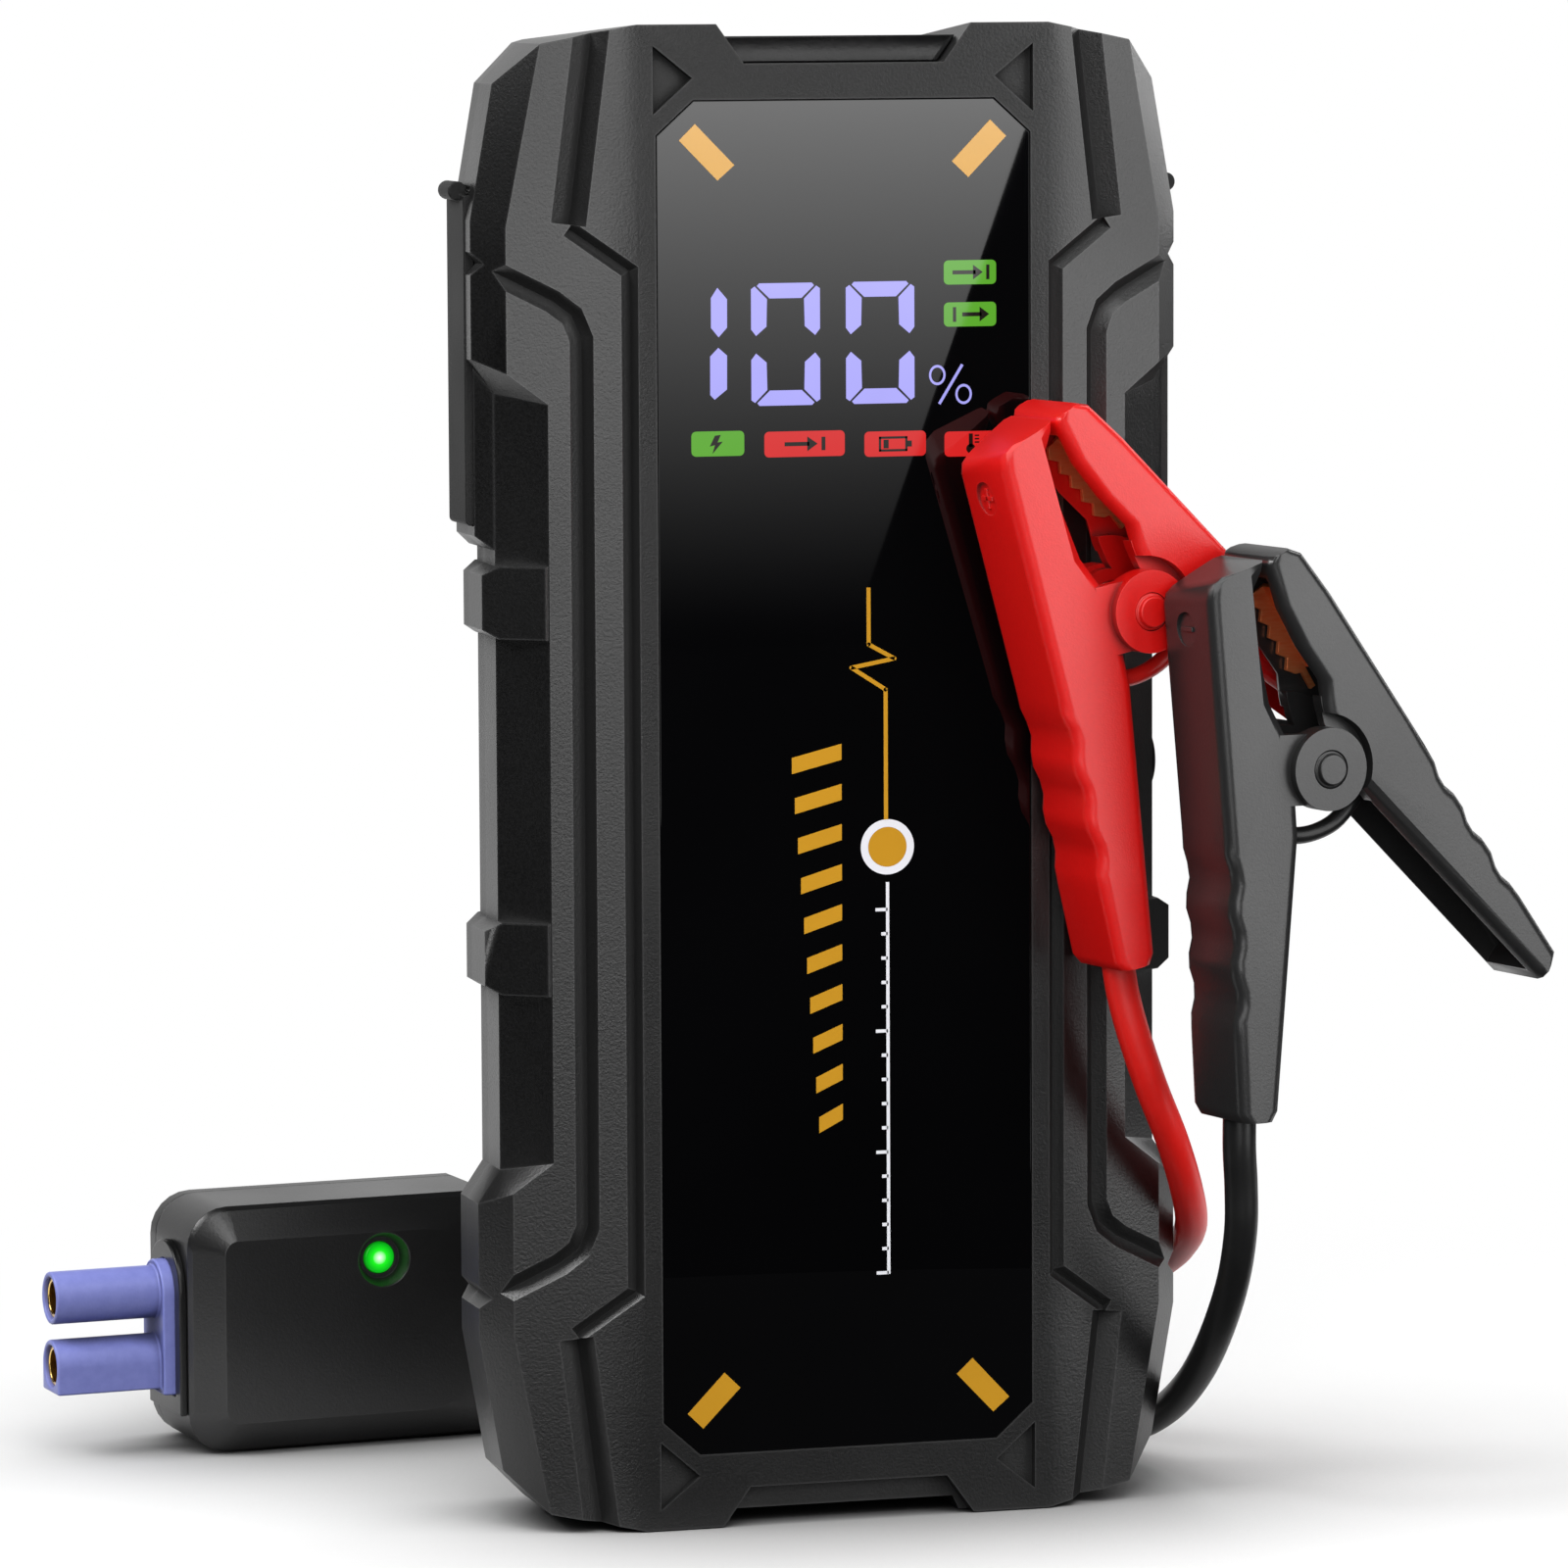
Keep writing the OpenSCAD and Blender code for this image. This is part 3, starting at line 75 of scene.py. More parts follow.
def placeCamera(view):
    azimuth, elevation, roll = (radians(view[k]) for k in ("azimuth", "elevation", "roll"))
    back = Vector((sin(azimuth) * cos(elevation), -cos(azimuth) * cos(elevation), sin(elevation)))
    right = Vector((cos(azimuth), sin(azimuth), 0))
    up = back.cross(right)
    rolledRight = right * cos(roll) + up * sin(roll)
    rolledUp = up * cos(roll) - right * sin(roll)
    data = bpy.data.cameras.new("camera")
    data.sensor_width = 36
    data.lens = view["lens"]
    data.clip_start, data.clip_end = 0.05, 20
    camera = bpy.data.objects.new("camera", data)
    scene.collection.objects.link(camera)
    turn = Matrix((rolledRight, rolledUp, back)).transposed().to_4x4()
    camera.matrix_world = Matrix.Translation(Vector(view["target"]) + back * view["distance"]) @ turn
    scene.camera = camera


placeCamera(cameraView)


# material helpers

def addNode(tree, kind, **values):
    # a shader node, with its sockets set by name
    node = tree.nodes.new(kind)
    for name, value in values.items():
        if hasattr(node, name):
            setattr(node, name, value)
        else:
            node.inputs[name.replace("_", " ")].default_value = value
    return node


def newMaterial(name, **shader):
    # an empty Principled material: (material, node tree, Principled node)
    material = bpy.data.materials.new(name)
    material.use_nodes = True
    tree = material.node_tree
    principled = tree.nodes["Principled BSDF"]
    for socket, value in shader.items():
        principled.inputs[socket.replace("_", " ")].default_value = value
    return material, tree, principled


def newGroup(name, inputs, outputs):
    group = bpy.data.node_groups.new(name, "ShaderNodeTree")
    for label, kind, value in inputs:
        socket = group.interface.new_socket(name=label, in_out="INPUT", socket_type=kind)
        socket.default_value = value
    for label, kind in outputs:
        group.interface.new_socket(name=label, in_out="OUTPUT", socket_type=kind)
    return group, group.nodes.new("NodeGroupInput"), group.nodes.new("NodeGroupOutput")


def useGroup(tree, group, **values):
    node = tree.nodes.new("ShaderNodeGroup")
    node.node_tree = group
    for name, value in values.items():
        node.inputs[name].default_value = value
    return node


def setRange(node, side, ends):
    # the "From" or "To" ends of a Map Range node
    node.inputs[side + " Min"].default_value, node.inputs[side + " Max"].default_value = ends


grainShape = {"slowScale": 28.0, "slowRange": (0.3, 0.7), "calmFrom": 1.05, "halfBlend": 0.45}
# the facing range finds edges for a painted highlight; the other values find grooves for painted shade
edgeShape = {"samples": 4, "paintedHighlightFacing": (0.995, 0.93), "hollowSamples": 6, "hollowReach": 0.005,
             "hollowRange": (0.45, 0.92)}


def makeGrainGroup():
    # moulded texture: a fine grain, a soft mottling of tone and a slow change of gloss
    number, colour = "NodeSocketFloat", "NodeSocketColor"
    group, given, result = newGroup("mouldedGrain",
        [("grainScale", number, 1800.0), ("mottleScale", number, 160.0), ("mottle", number, 0.3),
         ("glossLow", number, 0.4), ("glossHigh", number, 0.5),
         ("dark", colour, (0.02, 0.02, 0.02, 1)), ("light", colour, (0.05, 0.05, 0.05, 1))],
        [("Color", colour), ("Roughness", number), ("Height", number)])
    link = group.links.new
    place = group.nodes.new("ShaderNodeTexCoord")
    grain = addNode(group, "ShaderNodeTexNoise", Detail=2.0, Roughness=0.6)
    mottle = addNode(group, "ShaderNodeTexNoise", Detail=4.0, Roughness=0.65)
    slow = addNode(group, "ShaderNodeTexNoise", Scale=grainShape["slowScale"], Detail=2.0)
    for texture in (grain, mottle, slow):
        link(place.outputs["Object"], texture.inputs["Vector"])
    link(given.outputs["grainScale"], grain.inputs["Scale"])
    link(given.outputs["mottleScale"], mottle.inputs["Scale"])
    spread = addNode(group, "ShaderNodeMapRange", interpolation_type="SMOOTHSTEP")
    link(mottle.outputs["Fac"], spread.inputs["Value"])
    calm = addNode(group, "ShaderNodeMath", operation="SUBTRACT")   # the less mottle, the wider the blend
    calm.inputs[0].default_value = grainShape["calmFrom"]
    link(given.outputs["mottle"], calm.inputs[1])
    for side, end in ((-1, "From Min"), (1, "From Max")):
        edge = addNode(group, "ShaderNodeMath", operation="MULTIPLY_ADD")
        edge.inputs[1].default_value, edge.inputs[2].default_value = side * grainShape["halfBlend"], 0.5
        link(calm.outputs[0], edge.inputs[0])
        link(edge.outputs[0], spread.inputs[end])
    tone = addNode(group, "ShaderNodeMix", data_type="RGBA")
    link(spread.outputs["Result"], tone.inputs["Factor"])
    link(given.outputs["dark"], tone.inputs["A"])
    link(given.outputs["light"], tone.inputs["B"])
    gloss = addNode(group, "ShaderNodeMapRange")
    link(slow.outputs["Fac"], gloss.inputs["Value"])
    setRange(gloss, "From", grainShape["slowRange"])
    link(given.outputs["glossLow"], gloss.inputs["To Min"])
    link(given.outputs["glossHigh"], gloss.inputs["To Max"])
    link(tone.outputs["Result"], result.inputs["Color"])
    link(gloss.outputs["Result"], result.inputs["Roughness"])
    link(grain.outputs["Fac"], result.inputs["Height"])
    return group


def makeEdgeGroup():
    # a mask of edges, where a painted highlight lightens the plastic, and one that is 0 in grooves, where painted
    # shade darkens it
    number = "NodeSocketFloat"
    group, given, result = newGroup("paintedEdgeLightAndShade", [("Radius", number, 0.0006), ("Amount", number, 1.0)],
        [("Mask", number), ("Open", number)])
    link = group.links.new
    rounded = addNode(group, "ShaderNodeBevel", samples=edgeShape["samples"])
    link(given.outputs["Radius"], rounded.inputs["Radius"])
    flat = group.nodes.new("ShaderNodeNewGeometry")
    facing = addNode(group, "ShaderNodeVectorMath", operation="DOT_PRODUCT")
    link(rounded.outputs["Normal"], facing.inputs[0])
    link(flat.outputs["Normal"], facing.inputs[1])
    mask = addNode(group, "ShaderNodeMapRange", interpolation_type="SMOOTHSTEP")
    link(facing.outputs["Value"], mask.inputs["Value"])
    setRange(mask, "From", edgeShape["paintedHighlightFacing"])
    scaled = addNode(group, "ShaderNodeMath", operation="MULTIPLY")
    link(mask.outputs["Result"], scaled.inputs[0])
    link(given.outputs["Amount"], scaled.inputs[1])
    link(scaled.outputs[0], result.inputs["Mask"])
    hollow = addNode(group, "ShaderNodeAmbientOcclusion", samples=edgeShape["hollowSamples"], only_local=True,
        Distance=edgeShape["hollowReach"])
    spread = addNode(group, "ShaderNodeMapRange", interpolation_type="SMOOTHSTEP")
    link(hollow.outputs["AO"], spread.inputs["Value"])
    setRange(spread, "From", edgeShape["hollowRange"])
    link(spread.outputs["Result"], result.inputs["Open"])
    return group


grainGroup = makeGrainGroup()
edgeGroup = makeEdgeGroup()


# the tone is the painted shade in grooves, a fraction of the dark colour
plasticBase = {"ior": 1.47, "reliefDepth": 0.00012, "paintedHighlightRadius": 0.0005, "paintedShadeTone": 0.3, "hollowGloss": 0.85}


def mouldedPlastic(name, look):
    # grained plastic or rubber with a painted highlight along its edges and painted shade with dull gloss in its
    # grooves, from one dictionary of values
    material, tree, shader = newMaterial(name, IOR=look.get("ior", plasticBase["ior"]))
    link = tree.links.new
    grain = useGroup(tree, grainGroup, grainScale=look["grainScale"], mottleScale=look["mottleScale"],
        mottle=look["mottle"], glossLow=look["gloss"][0], glossHigh=look["gloss"][1],
        dark=(*look["dark"], 1), light=(*look["light"], 1))
    paintedLight = useGroup(tree, edgeGroup, Radius=plasticBase["paintedHighlightRadius"], Amount=look["paintedLight"])
    colour = addNode(tree, "ShaderNodeMix", data_type="RGBA")
    link(paintedLight.outputs["Mask"], colour.inputs["Factor"])
    link(grain.outputs["Color"], colour.inputs["A"])
    # painted highlight: the edge colour lightens the plastic along its edges
    colour.inputs["B"].default_value = (*look["edge"], 1)
    # painted shade: grooves darken to a fraction of the dark colour
    shade = addNode(tree, "ShaderNodeMix", data_type="RGBA")
    link(paintedLight.outputs["Open"], shade.inputs["Factor"])
    shade.inputs["A"].default_value = (*[c * plasticBase["paintedShadeTone"] for c in look["dark"]], 1)
    link(colour.outputs["Result"], shade.inputs["B"])
    link(shade.outputs["Result"], shader.inputs["Base Color"])
    dull = addNode(tree, "ShaderNodeMix", data_type="FLOAT")
    link(paintedLight.outputs["Open"], dull.inputs["Factor"])
    dull.inputs["A"].default_value = plasticBase["hollowGloss"]
    link(grain.outputs["Roughness"], dull.inputs["B"])
    link(dull.outputs["Result"], shader.inputs["Roughness"])
    bump = addNode(tree, "ShaderNodeBump", Strength=look["relief"],
        Distance=look.get("reliefDepth", plasticBase["reliefDepth"]))
    link(grain.outputs["Height"], bump.inputs["Height"])
    link(bump.outputs["Normal"], shader.inputs["Normal"])
    return material


def brushedMetal(name, look):
    # metal with fine streaks along one axis and a soft change of tone
    material, tree, shader = newMaterial(name, Metallic=look.get("metallic", 1.0))
    link = tree.links.new
    place = tree.nodes.new("ShaderNodeTexCoord")
    stretch = addNode(tree, "ShaderNodeMapping")
    stretch.inputs["Scale"].default_value = look["streak"]
    link(place.outputs["Object"], stretch.inputs["Vector"])
    streaks = addNode(tree, "ShaderNodeTexNoise", Scale=look["scale"], Detail=3.0)
    link(stretch.outputs["Vector"], streaks.inputs["Vector"])
    tone = addNode(tree, "ShaderNodeMix", data_type="RGBA")
    tone.inputs["A"].default_value = (*look["dark"], 1)
    tone.inputs["B"].default_value = (*look["light"], 1)
    link(streaks.outputs["Fac"], tone.inputs["Factor"])
    link(tone.outputs["Result"], shader.inputs["Base Color"])
    gloss = addNode(tree, "ShaderNodeMapRange")
    setRange(gloss, "To", look["gloss"])
    link(streaks.outputs["Fac"], gloss.inputs["Value"])
    link(gloss.outputs["Result"], shader.inputs["Roughness"])
    bump = addNode(tree, "ShaderNodeBump", Strength=look["relief"], Distance=0.00005)
    link(streaks.outputs["Fac"], bump.inputs["Height"])
    link(bump.outputs["Normal"], shader.inputs["Normal"])
    return material


# each edge colour is a painted highlight along the plastic's edges
plastics = {
    "armour": {
        "dark": (0.0018, 0.0018, 0.0019), "light": (0.006, 0.006, 0.0062), "edge": (0.05, 0.05, 0.051), "ior": 1.7,
        "grainScale": 2400.0, "mottleScale": 2600.0, "mottle": 0.8, "gloss": (0.31, 0.36), "relief": 0.4, "reliefDepth": 0.0001, "paintedLight": 0.7},
    "back": {
        "dark": (0.0018, 0.0018, 0.0019), "light": (0.006, 0.006, 0.0062), "edge": (0.045, 0.045, 0.046), "ior": 1.7,
        "grainScale": 2400.0, "mottleScale": 2600.0, "mottle": 0.8, "gloss": (0.33, 0.38), "relief": 0.4, "reliefDepth": 0.0001, "paintedLight": 0.6},
    "endPiece": {
        "dark": (0.002, 0.002, 0.0022), "light": (0.0034, 0.0034, 0.0036), "edge": (0.02, 0.02, 0.02),
        "grainScale": 900.0, "mottleScale": 90.0, "mottle": 0.1, "gloss": (0.1, 0.16), "relief": 0.05, "paintedLight": 0.2},
    "module": {
        "dark": (0.004, 0.004, 0.0042), "light": (0.01, 0.01, 0.0104), "edge": (0.035, 0.035, 0.036), "ior": 1.7,
        "grainScale": 2300.0, "mottleScale": 2500.0, "mottle": 0.4, "gloss": (0.32, 0.38), "relief": 0.35, "reliefDepth": 8e-05, "paintedLight": 0.5},
    "flap": {
        "dark": (0.0025, 0.0025, 0.0027), "light": (0.005, 0.005, 0.0052), "edge": (0.03, 0.03, 0.03),
        "grainScale": 2600.0, "mottleScale": 1200.0, "mottle": 0.3, "gloss": (0.5, 0.6), "relief": 0.3, "paintedLight": 0.3},
    "button": {
        "dark": (0.004, 0.004, 0.0042), "light": (0.008, 0.008, 0.0082), "edge": (0.05, 0.05, 0.05),
        "grainScale": 2800.0, "mottleScale": 1200.0, "mottle": 0.2, "gloss": (0.36, 0.44), "relief": 0.3, "paintedLight": 0.4},
    "clampRed": {
        "dark": (0.69, 0.0045, 0.0035), "light": (0.77, 0.006, 0.005), "edge": (0.82, 0.04, 0.036), "ior": 1.6,
        "grainScale": 3400.0, "mottleScale": 1500.0, "mottle": 0.1, "gloss": (0.3, 0.36), "relief": 0.25, "paintedLight": 0.3},
    "clampBlack": {
        "dark": (0.014, 0.014, 0.0143), "light": (0.021, 0.021, 0.0215), "edge": (0.03, 0.03, 0.03), "ior": 1.7,
        "grainScale": 2800.0, "mottleScale": 2200.0, "mottle": 0.4, "gloss": (0.3, 0.36), "relief": 0.25, "reliefDepth": 8e-05, "paintedLight": 0.3},
    "leadRed": {
        "dark": (0.78, 0.011, 0.007), "light": (0.86, 0.014, 0.01), "edge": (0.7, 0.04, 0.03), "ior": 1.6,
        "grainScale": 2600.0, "mottleScale": 300.0, "mottle": 0.1, "gloss": (0.34, 0.42), "relief": 0.15, "paintedLight": 0.0},
    "leadBlack": {
        "dark": (0.009, 0.009, 0.0093), "light": (0.014, 0.014, 0.0143), "edge": (0.02, 0.02, 0.02),
        "grainScale": 2600.0, "mottleScale": 300.0, "mottle": 0.1, "gloss": (0.3, 0.38), "relief": 0.15, "paintedLight": 0.0},
    "plugBlue": {
        "dark": (0.2, 0.225, 0.6), "light": (0.25, 0.28, 0.68), "edge": (0.3, 0.34, 0.8),
        "grainScale": 2600.0, "mottleScale": 500.0, "mottle": 0.2, "gloss": (0.34, 0.42), "relief": 0.25, "paintedLight": 0.35},
    "seat": {
        "dark": (0.003, 0.003, 0.0032), "light": (0.006, 0.006, 0.0062), "edge": (0.05, 0.05, 0.05),
        "grainScale": 2600.0, "mottleScale": 900.0, "mottle": 0.1, "gloss": (0.26, 0.34), "relief": 0.2, "paintedLight": 0.5},
    "board": {
        "dark": (0.008, 0.06, 0.025), "light": (0.015, 0.1, 0.04), "edge": (0.2, 0.25, 0.12),
        "grainScale": 900.0, "mottleScale": 90.0, "mottle": 0.5, "gloss": (0.3, 0.4), "relief": 0.2, "paintedLight": 0.3},
    "foam": {
        "dark": (0.03, 0.03, 0.032), "light": (0.06, 0.06, 0.062), "edge": (0.07, 0.07, 0.07),
        "grainScale": 900.0, "mottleScale": 500.0, "mottle": 0.6, "gloss": (0.8, 0.95), "relief": 1.0, "paintedLight": 0.0}}
metals = {
    "copper": {
        "dark": (0.92, 0.2, 0.05), "light": (1.0, 0.44, 0.19), "metallic": 0.75,
        "streak": (60, 60, 400), "scale": 6.0, "gloss": (0.4, 0.6), "relief": 0.3},
    "gold": {
        "dark": (0.72, 0.46, 0.12), "light": (0.92, 0.68, 0.26),
        "streak": (300, 80, 80), "scale": 5.0, "gloss": (0.12, 0.26), "relief": 0.2},
    "springSteel": {
        "dark": (0.55, 0.55, 0.56), "light": (0.78, 0.78, 0.79),
        "streak": (200, 200, 200), "scale": 4.0, "gloss": (0.12, 0.28), "relief": 0.2},
    "screwSteel": {
        "dark": (0.1, 0.1, 0.105), "light": (0.22, 0.22, 0.225),
        "streak": (200, 200, 200), "scale": 6.0, "gloss": (0.25, 0.45), "relief": 0.3},
    "nickel": {
        "dark": (0.5, 0.5, 0.49), "light": (0.7, 0.7, 0.69),
        "streak": (400, 60, 60), "scale": 6.0, "gloss": (0.2, 0.36), "relief": 0.2},
    "foil": {
        "dark": (0.42, 0.44, 0.46), "light": (0.6, 0.62, 0.64),
        "streak": (40, 40, 40), "scale": 6.0, "gloss": (0.3, 0.5), "relief": 0.6}}
finish = {name: mouldedPlastic(name, look) for name, look in plastics.items()}
finish.update({name: brushedMetal(name, look) for name, look in metals.items()})


def makeGlass():
    # black printed glass, with a faint cloudiness in its gloss and tone
    material, tree, shader = newMaterial("displayGlass", IOR=1.5, Specular_IOR_Level=0.45)
    link = tree.links.new
    place = tree.nodes.new("ShaderNodeTexCoord")
    cloud = addNode(tree, "ShaderNodeTexNoise", Scale=24.0, Detail=3.0)
    link(place.outputs["Object"], cloud.inputs["Vector"])
    gloss = addNode(tree, "ShaderNodeMapRange")
    setRange(gloss, "To", (0.0, 0.02))
    link(cloud.outputs["Fac"], gloss.inputs["Value"])
    link(gloss.outputs["Result"], shader.inputs["Roughness"])
    tone = addNode(tree, "ShaderNodeMix", data_type="RGBA")
    tone.inputs["A"].default_value = (0.0010, 0.0010, 0.0012, 1)
    tone.inputs["B"].default_value = (0.0022, 0.0022, 0.0026, 1)
    link(cloud.outputs["Fac"], tone.inputs["Factor"])
    link(tone.outputs["Result"], shader.inputs["Base Color"])
    return material


def makePrint(name, colour, glow, shade=0.92):
    # a printed or lit mark: its tone varies a little, as backlight does
    material, tree, shader = newMaterial(name, IOR=1.5, Roughness=0.02)
    link = tree.links.new
    place = tree.nodes.new("ShaderNodeTexCoord")
    blotch = addNode(tree, "ShaderNodeTexNoise", Scale=160.0, Detail=2.0)
    link(place.outputs["Object"], blotch.inputs["Vector"])
    tone = addNode(tree, "ShaderNodeMix", data_type="RGBA")
    tone.inputs["A"].default_value = (*[c * shade for c in colour], 1)
    tone.inputs["B"].default_value = (*colour, 1)
    link(blotch.outputs["Fac"], tone.inputs["Factor"])
    if glow:
        shader.inputs["Base Color"].default_value = (0.01, 0.01, 0.012, 1)
        shader.inputs["Emission Strength"].default_value = glow
        link(tone.outputs["Result"], shader.inputs["Emission Color"])
    else:
        link(tone.outputs["Result"], shader.inputs["Base Color"])
    return material


lampGlow = {"radius": 0.0027, "middle": (1.0, 1.0, 1.0, 1), "rim": (0.0, 0.10, 0.0, 1),
            "between": [(0.2, (0.5, 1.0, 0.5, 1)), (0.42, (0.01, 0.85, 0.01, 1)), (0.8, (0.0, 0.4, 0.005, 1))]}


def makeLamp(look):
    # the lit lamp: white-hot at its middle, green towards the rim
    material, tree, shader = newMaterial("lampGreen", IOR=1.5, Roughness=0.12, Emission_Strength=1.0)
    shader.inputs["Base Color"].default_value = (0.01, 0.25, 0.02, 1)
    link = tree.links.new
    place = tree.nodes.new("ShaderNodeTexCoord")
    centre = addNode(tree, "ShaderNodeMapping", vector_type="POINT")
    centre.inputs["Location"].default_value = (-lampPoint.x, -lampPoint.y, -lampPoint.z)
    link(place.outputs["Object"], centre.inputs["Vector"])
    reach = addNode(tree, "ShaderNodeVectorMath", operation="LENGTH")
    link(centre.outputs["Vector"], reach.inputs[0])
    ramp = tree.nodes.new("ShaderNodeValToRGB")
    scale = addNode(tree, "ShaderNodeMath", operation="MULTIPLY")
    scale.inputs[1].default_value = 1 / look["radius"]
    link(reach.outputs["Value"], scale.inputs[0])
    link(scale.outputs[0], ramp.inputs["Fac"])
    stops = ramp.color_ramp.elements
    stops[0].position, stops[0].color = 0.0, look["middle"]
    stops[1].position, stops[1].color = 1.0, look["rim"]
    for position, colour in look["between"]:
        stops.new(position).color = colour
    link(ramp.outputs["Color"], shader.inputs["Emission Color"])
    return material


def makeLens():
    # a clear frosted lens
    material, tree, shader = newMaterial("clearLens", IOR=1.49, Transmission_Weight=0.85,
        Base_Color=(0.9, 0.95, 1.0, 1))
    place = tree.nodes.new("ShaderNodeTexCoord")
    frost = addNode(tree, "ShaderNodeTexNoise", Scale=900.0, Detail=2.0)
    tree.links.new(place.outputs["Object"], frost.inputs["Vector"])
    gloss = addNode(tree, "ShaderNodeMapRange")
    setRange(gloss, "To", (0.1, 0.3))
    tree.links.new(frost.outputs["Fac"], gloss.inputs["Value"])
    tree.links.new(gloss.outputs["Result"], shader.inputs["Roughness"])
    return material


# places on the object, in metres

moduleFrame = Matrix.Translation((-0.0835, 0.0605, 0)) @ Matrix.Rotation(radians(6), 4, "Z")
redFrame = (Matrix.Translation((0.0405, -0.024697, 0.137)) @ Matrix.Rotation(radians(12), 4, "Z")
            @ Matrix.Rotation(radians(-10.5), 4, "Y"))
blackFrame = Matrix.Translation((0.064, -0.037695, 0.114)) @ Matrix.Rotation(radians(12), 4, "Z")
lampPoint = moduleFrame @ Vector((0.0313, 0.0022, 0.0295))
glassFace = -0.0169   # y of the front of the glass

finish["glass"] = makeGlass()
finish["lamp"] = makeLamp(lampGlow)
finish["lens"] = makeLens()
finish["digit"] = makePrint("digitLight", (0.42, 0.40, 0.98), 1.0)
finish["tagGreen"] = makePrint("tagGreen", (0.10, 0.40, 0.015), 1.0)
finish["tagRed"] = makePrint("tagRed", (0.70, 0.012, 0.01), 1.0)
finish["goldPrint"] = makePrint("goldPrint", (0.60, 0.30, 0.022), 0.0)
finish["whitePrint"] = makePrint("whitePrint", (0.86, 0.87, 0.92), 0.0)
finish["darkPrint"] = makePrint("darkPrint", (0.012, 0.01, 0.008), 0.0)
finish["ledYellow"] = makePrint("ledYellow", (0.8, 0.72, 0.3), 0.0)
print("materials made")


# the two leads

leadDiameter = 5 * mm
leadRoutes = {
    "redLead": {"node": "red_lead", "finish": "leadRed", "slot": "red_lead_rubber", "length": 0.183,
        "points": [(39.899, -24.825, 83.797), (40.79, -24.635, 78.881), (42.5, -24.7, 72.6), (45.4, -24.2, 64.6),
            (49.4, -22, 56.2), (53.4, -17, 48), (56.8, -9.6, 41.2), (58.4, 0, 36.2), (58.6, 10, 32), (57.2, 20, 27.4),
            (53.6, 30, 22.4), (47.6, 40, 17.6), (40, 49.6, 14), (31.4, 58.6, 12.2), (23.6, 66.4, 12.2),
            (17, 73.6, 13.8), (11.4, 80.1, 16.8), (5.6, 83.8, 19.6), (-1.58, 84.695, 21), (-6.553, 84.173, 21)]},
    "blackLead": {"node": "black_lead", "finish": "leadBlack", "slot": "black_lead_rubber", "length": 0.185,
        "points": [(53.925, -39.836, 61.8), (53.925, -39.836, 56.8), (54.5, -39, 51), (54.8, -38, 44.4),
            (54.9, -34.4, 36.4), (55, -27.4, 28), (55.6, -17.6, 20.4), (56, -7.4, 14.4), (56, 3, 9.6), (55, 13, 6),
            (52.4, 23, 3.8), (47.6, 33, 2.9), (40.8, 42.6, 2.8), (32.6, 51.8, 2.8), (24.8, 60.4, 2.8),
            (18.6, 69.4, 3), (13.2, 78, 4), (9.3, 81.9, 5.6), (4.2, 84.2, 7.6), (-1.58, 84.695, 9),
            (-6.553, 84.173, 9)]}}


def smoothRoute(points, steps):
    # points of a smooth curve through given points
    dense = []
    last = len(points) - 1
    for i in range(last):
        a, b, c, d = (Vector(points[min(max(k, 0), last)]) for k in (i - 1, i, i + 1, i + 2))
        for k in range(steps):
            t = k / steps
            dense.append(0.5 * (2 * b + (c - a) * t + (2 * a - 5 * b + 4 * c - d) * t ** 2
                                + (3 * b - a - 3 * c + d) * t ** 3))
    return dense + [Vector(points[last])]


def makeCurve(name, points, diameter, material, roundness=8):
    data = bpy.data.curves.new(name, "CURVE")
    data.dimensions = "3D"
    data.bevel_depth = diameter / 2
    data.bevel_resolution = roundness
    data.use_fill_caps = True
    line = data.splines.new("POLY")
    line.points.add(len(points) - 1)
    for spot, point in zip(line.points, points):
        spot.co = (*(point * mm), 1)
    data.materials.append(material)
    piece = bpy.data.objects.new(name, data)
    scene.collection.objects.link(piece)
    return piece


for name, lead in leadRoutes.items():
    route = smoothRoute(lead["points"], 5)
    piece = makeCurve(name, route, leadDiameter, finish[lead["finish"]])
    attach(piece, "lead_set")
    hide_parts(lead["node"])
print("leads laid")


# CAD pieces with eased edges

def finishPiece(piece, body, material):
    piece.data.materials.clear()
    piece.data.materials.append(material)
    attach(piece, body)
    return piece


weldReach = 0.004 * mm   # points closer than this are one


def dressedCopy(node, material, slot, edge=0.3, angle=24, segments=2, flat=0.8, shaped=None):
    # a copy of a CAD node with its flats joined and its edges eased; shaped(point) moves its points
    source = frame["nodes"][node]
    piece = bpy.data.objects.new(node + "Dressed", source.data.copy())
    scene.collection.objects.link(piece)
    mesh = bmesh.new()
    mesh.from_mesh(piece.data)
    bmesh.ops.remove_doubles(mesh, verts=mesh.verts, dist=weldReach)
    bmesh.ops.dissolve_limit(mesh, angle_limit=radians(flat), verts=mesh.verts, edges=mesh.edges)
    if shaped:
        for vert in mesh.verts:
            vert.co = shaped(vert.co)
        mesh.normal_update()
    for face in mesh.faces:
        face.smooth = True
    mesh.to_mesh(piece.data)
    mesh.free()
    if edge:
        ease = piece.modifiers.new("easedEdges", "BEVEL")
        ease.width = edge * mm
        ease.segments = segments
        ease.limit_method = "ANGLE"
        ease.angle_limit = radians(angle)
    shade = piece.modifiers.new("weightedNormals", "WEIGHTED_NORMAL")
    shade.keep_sharp = True
    shade.weight = 50
    finishPiece(piece, source["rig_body"], finish[material])
    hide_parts(node)
    return piece


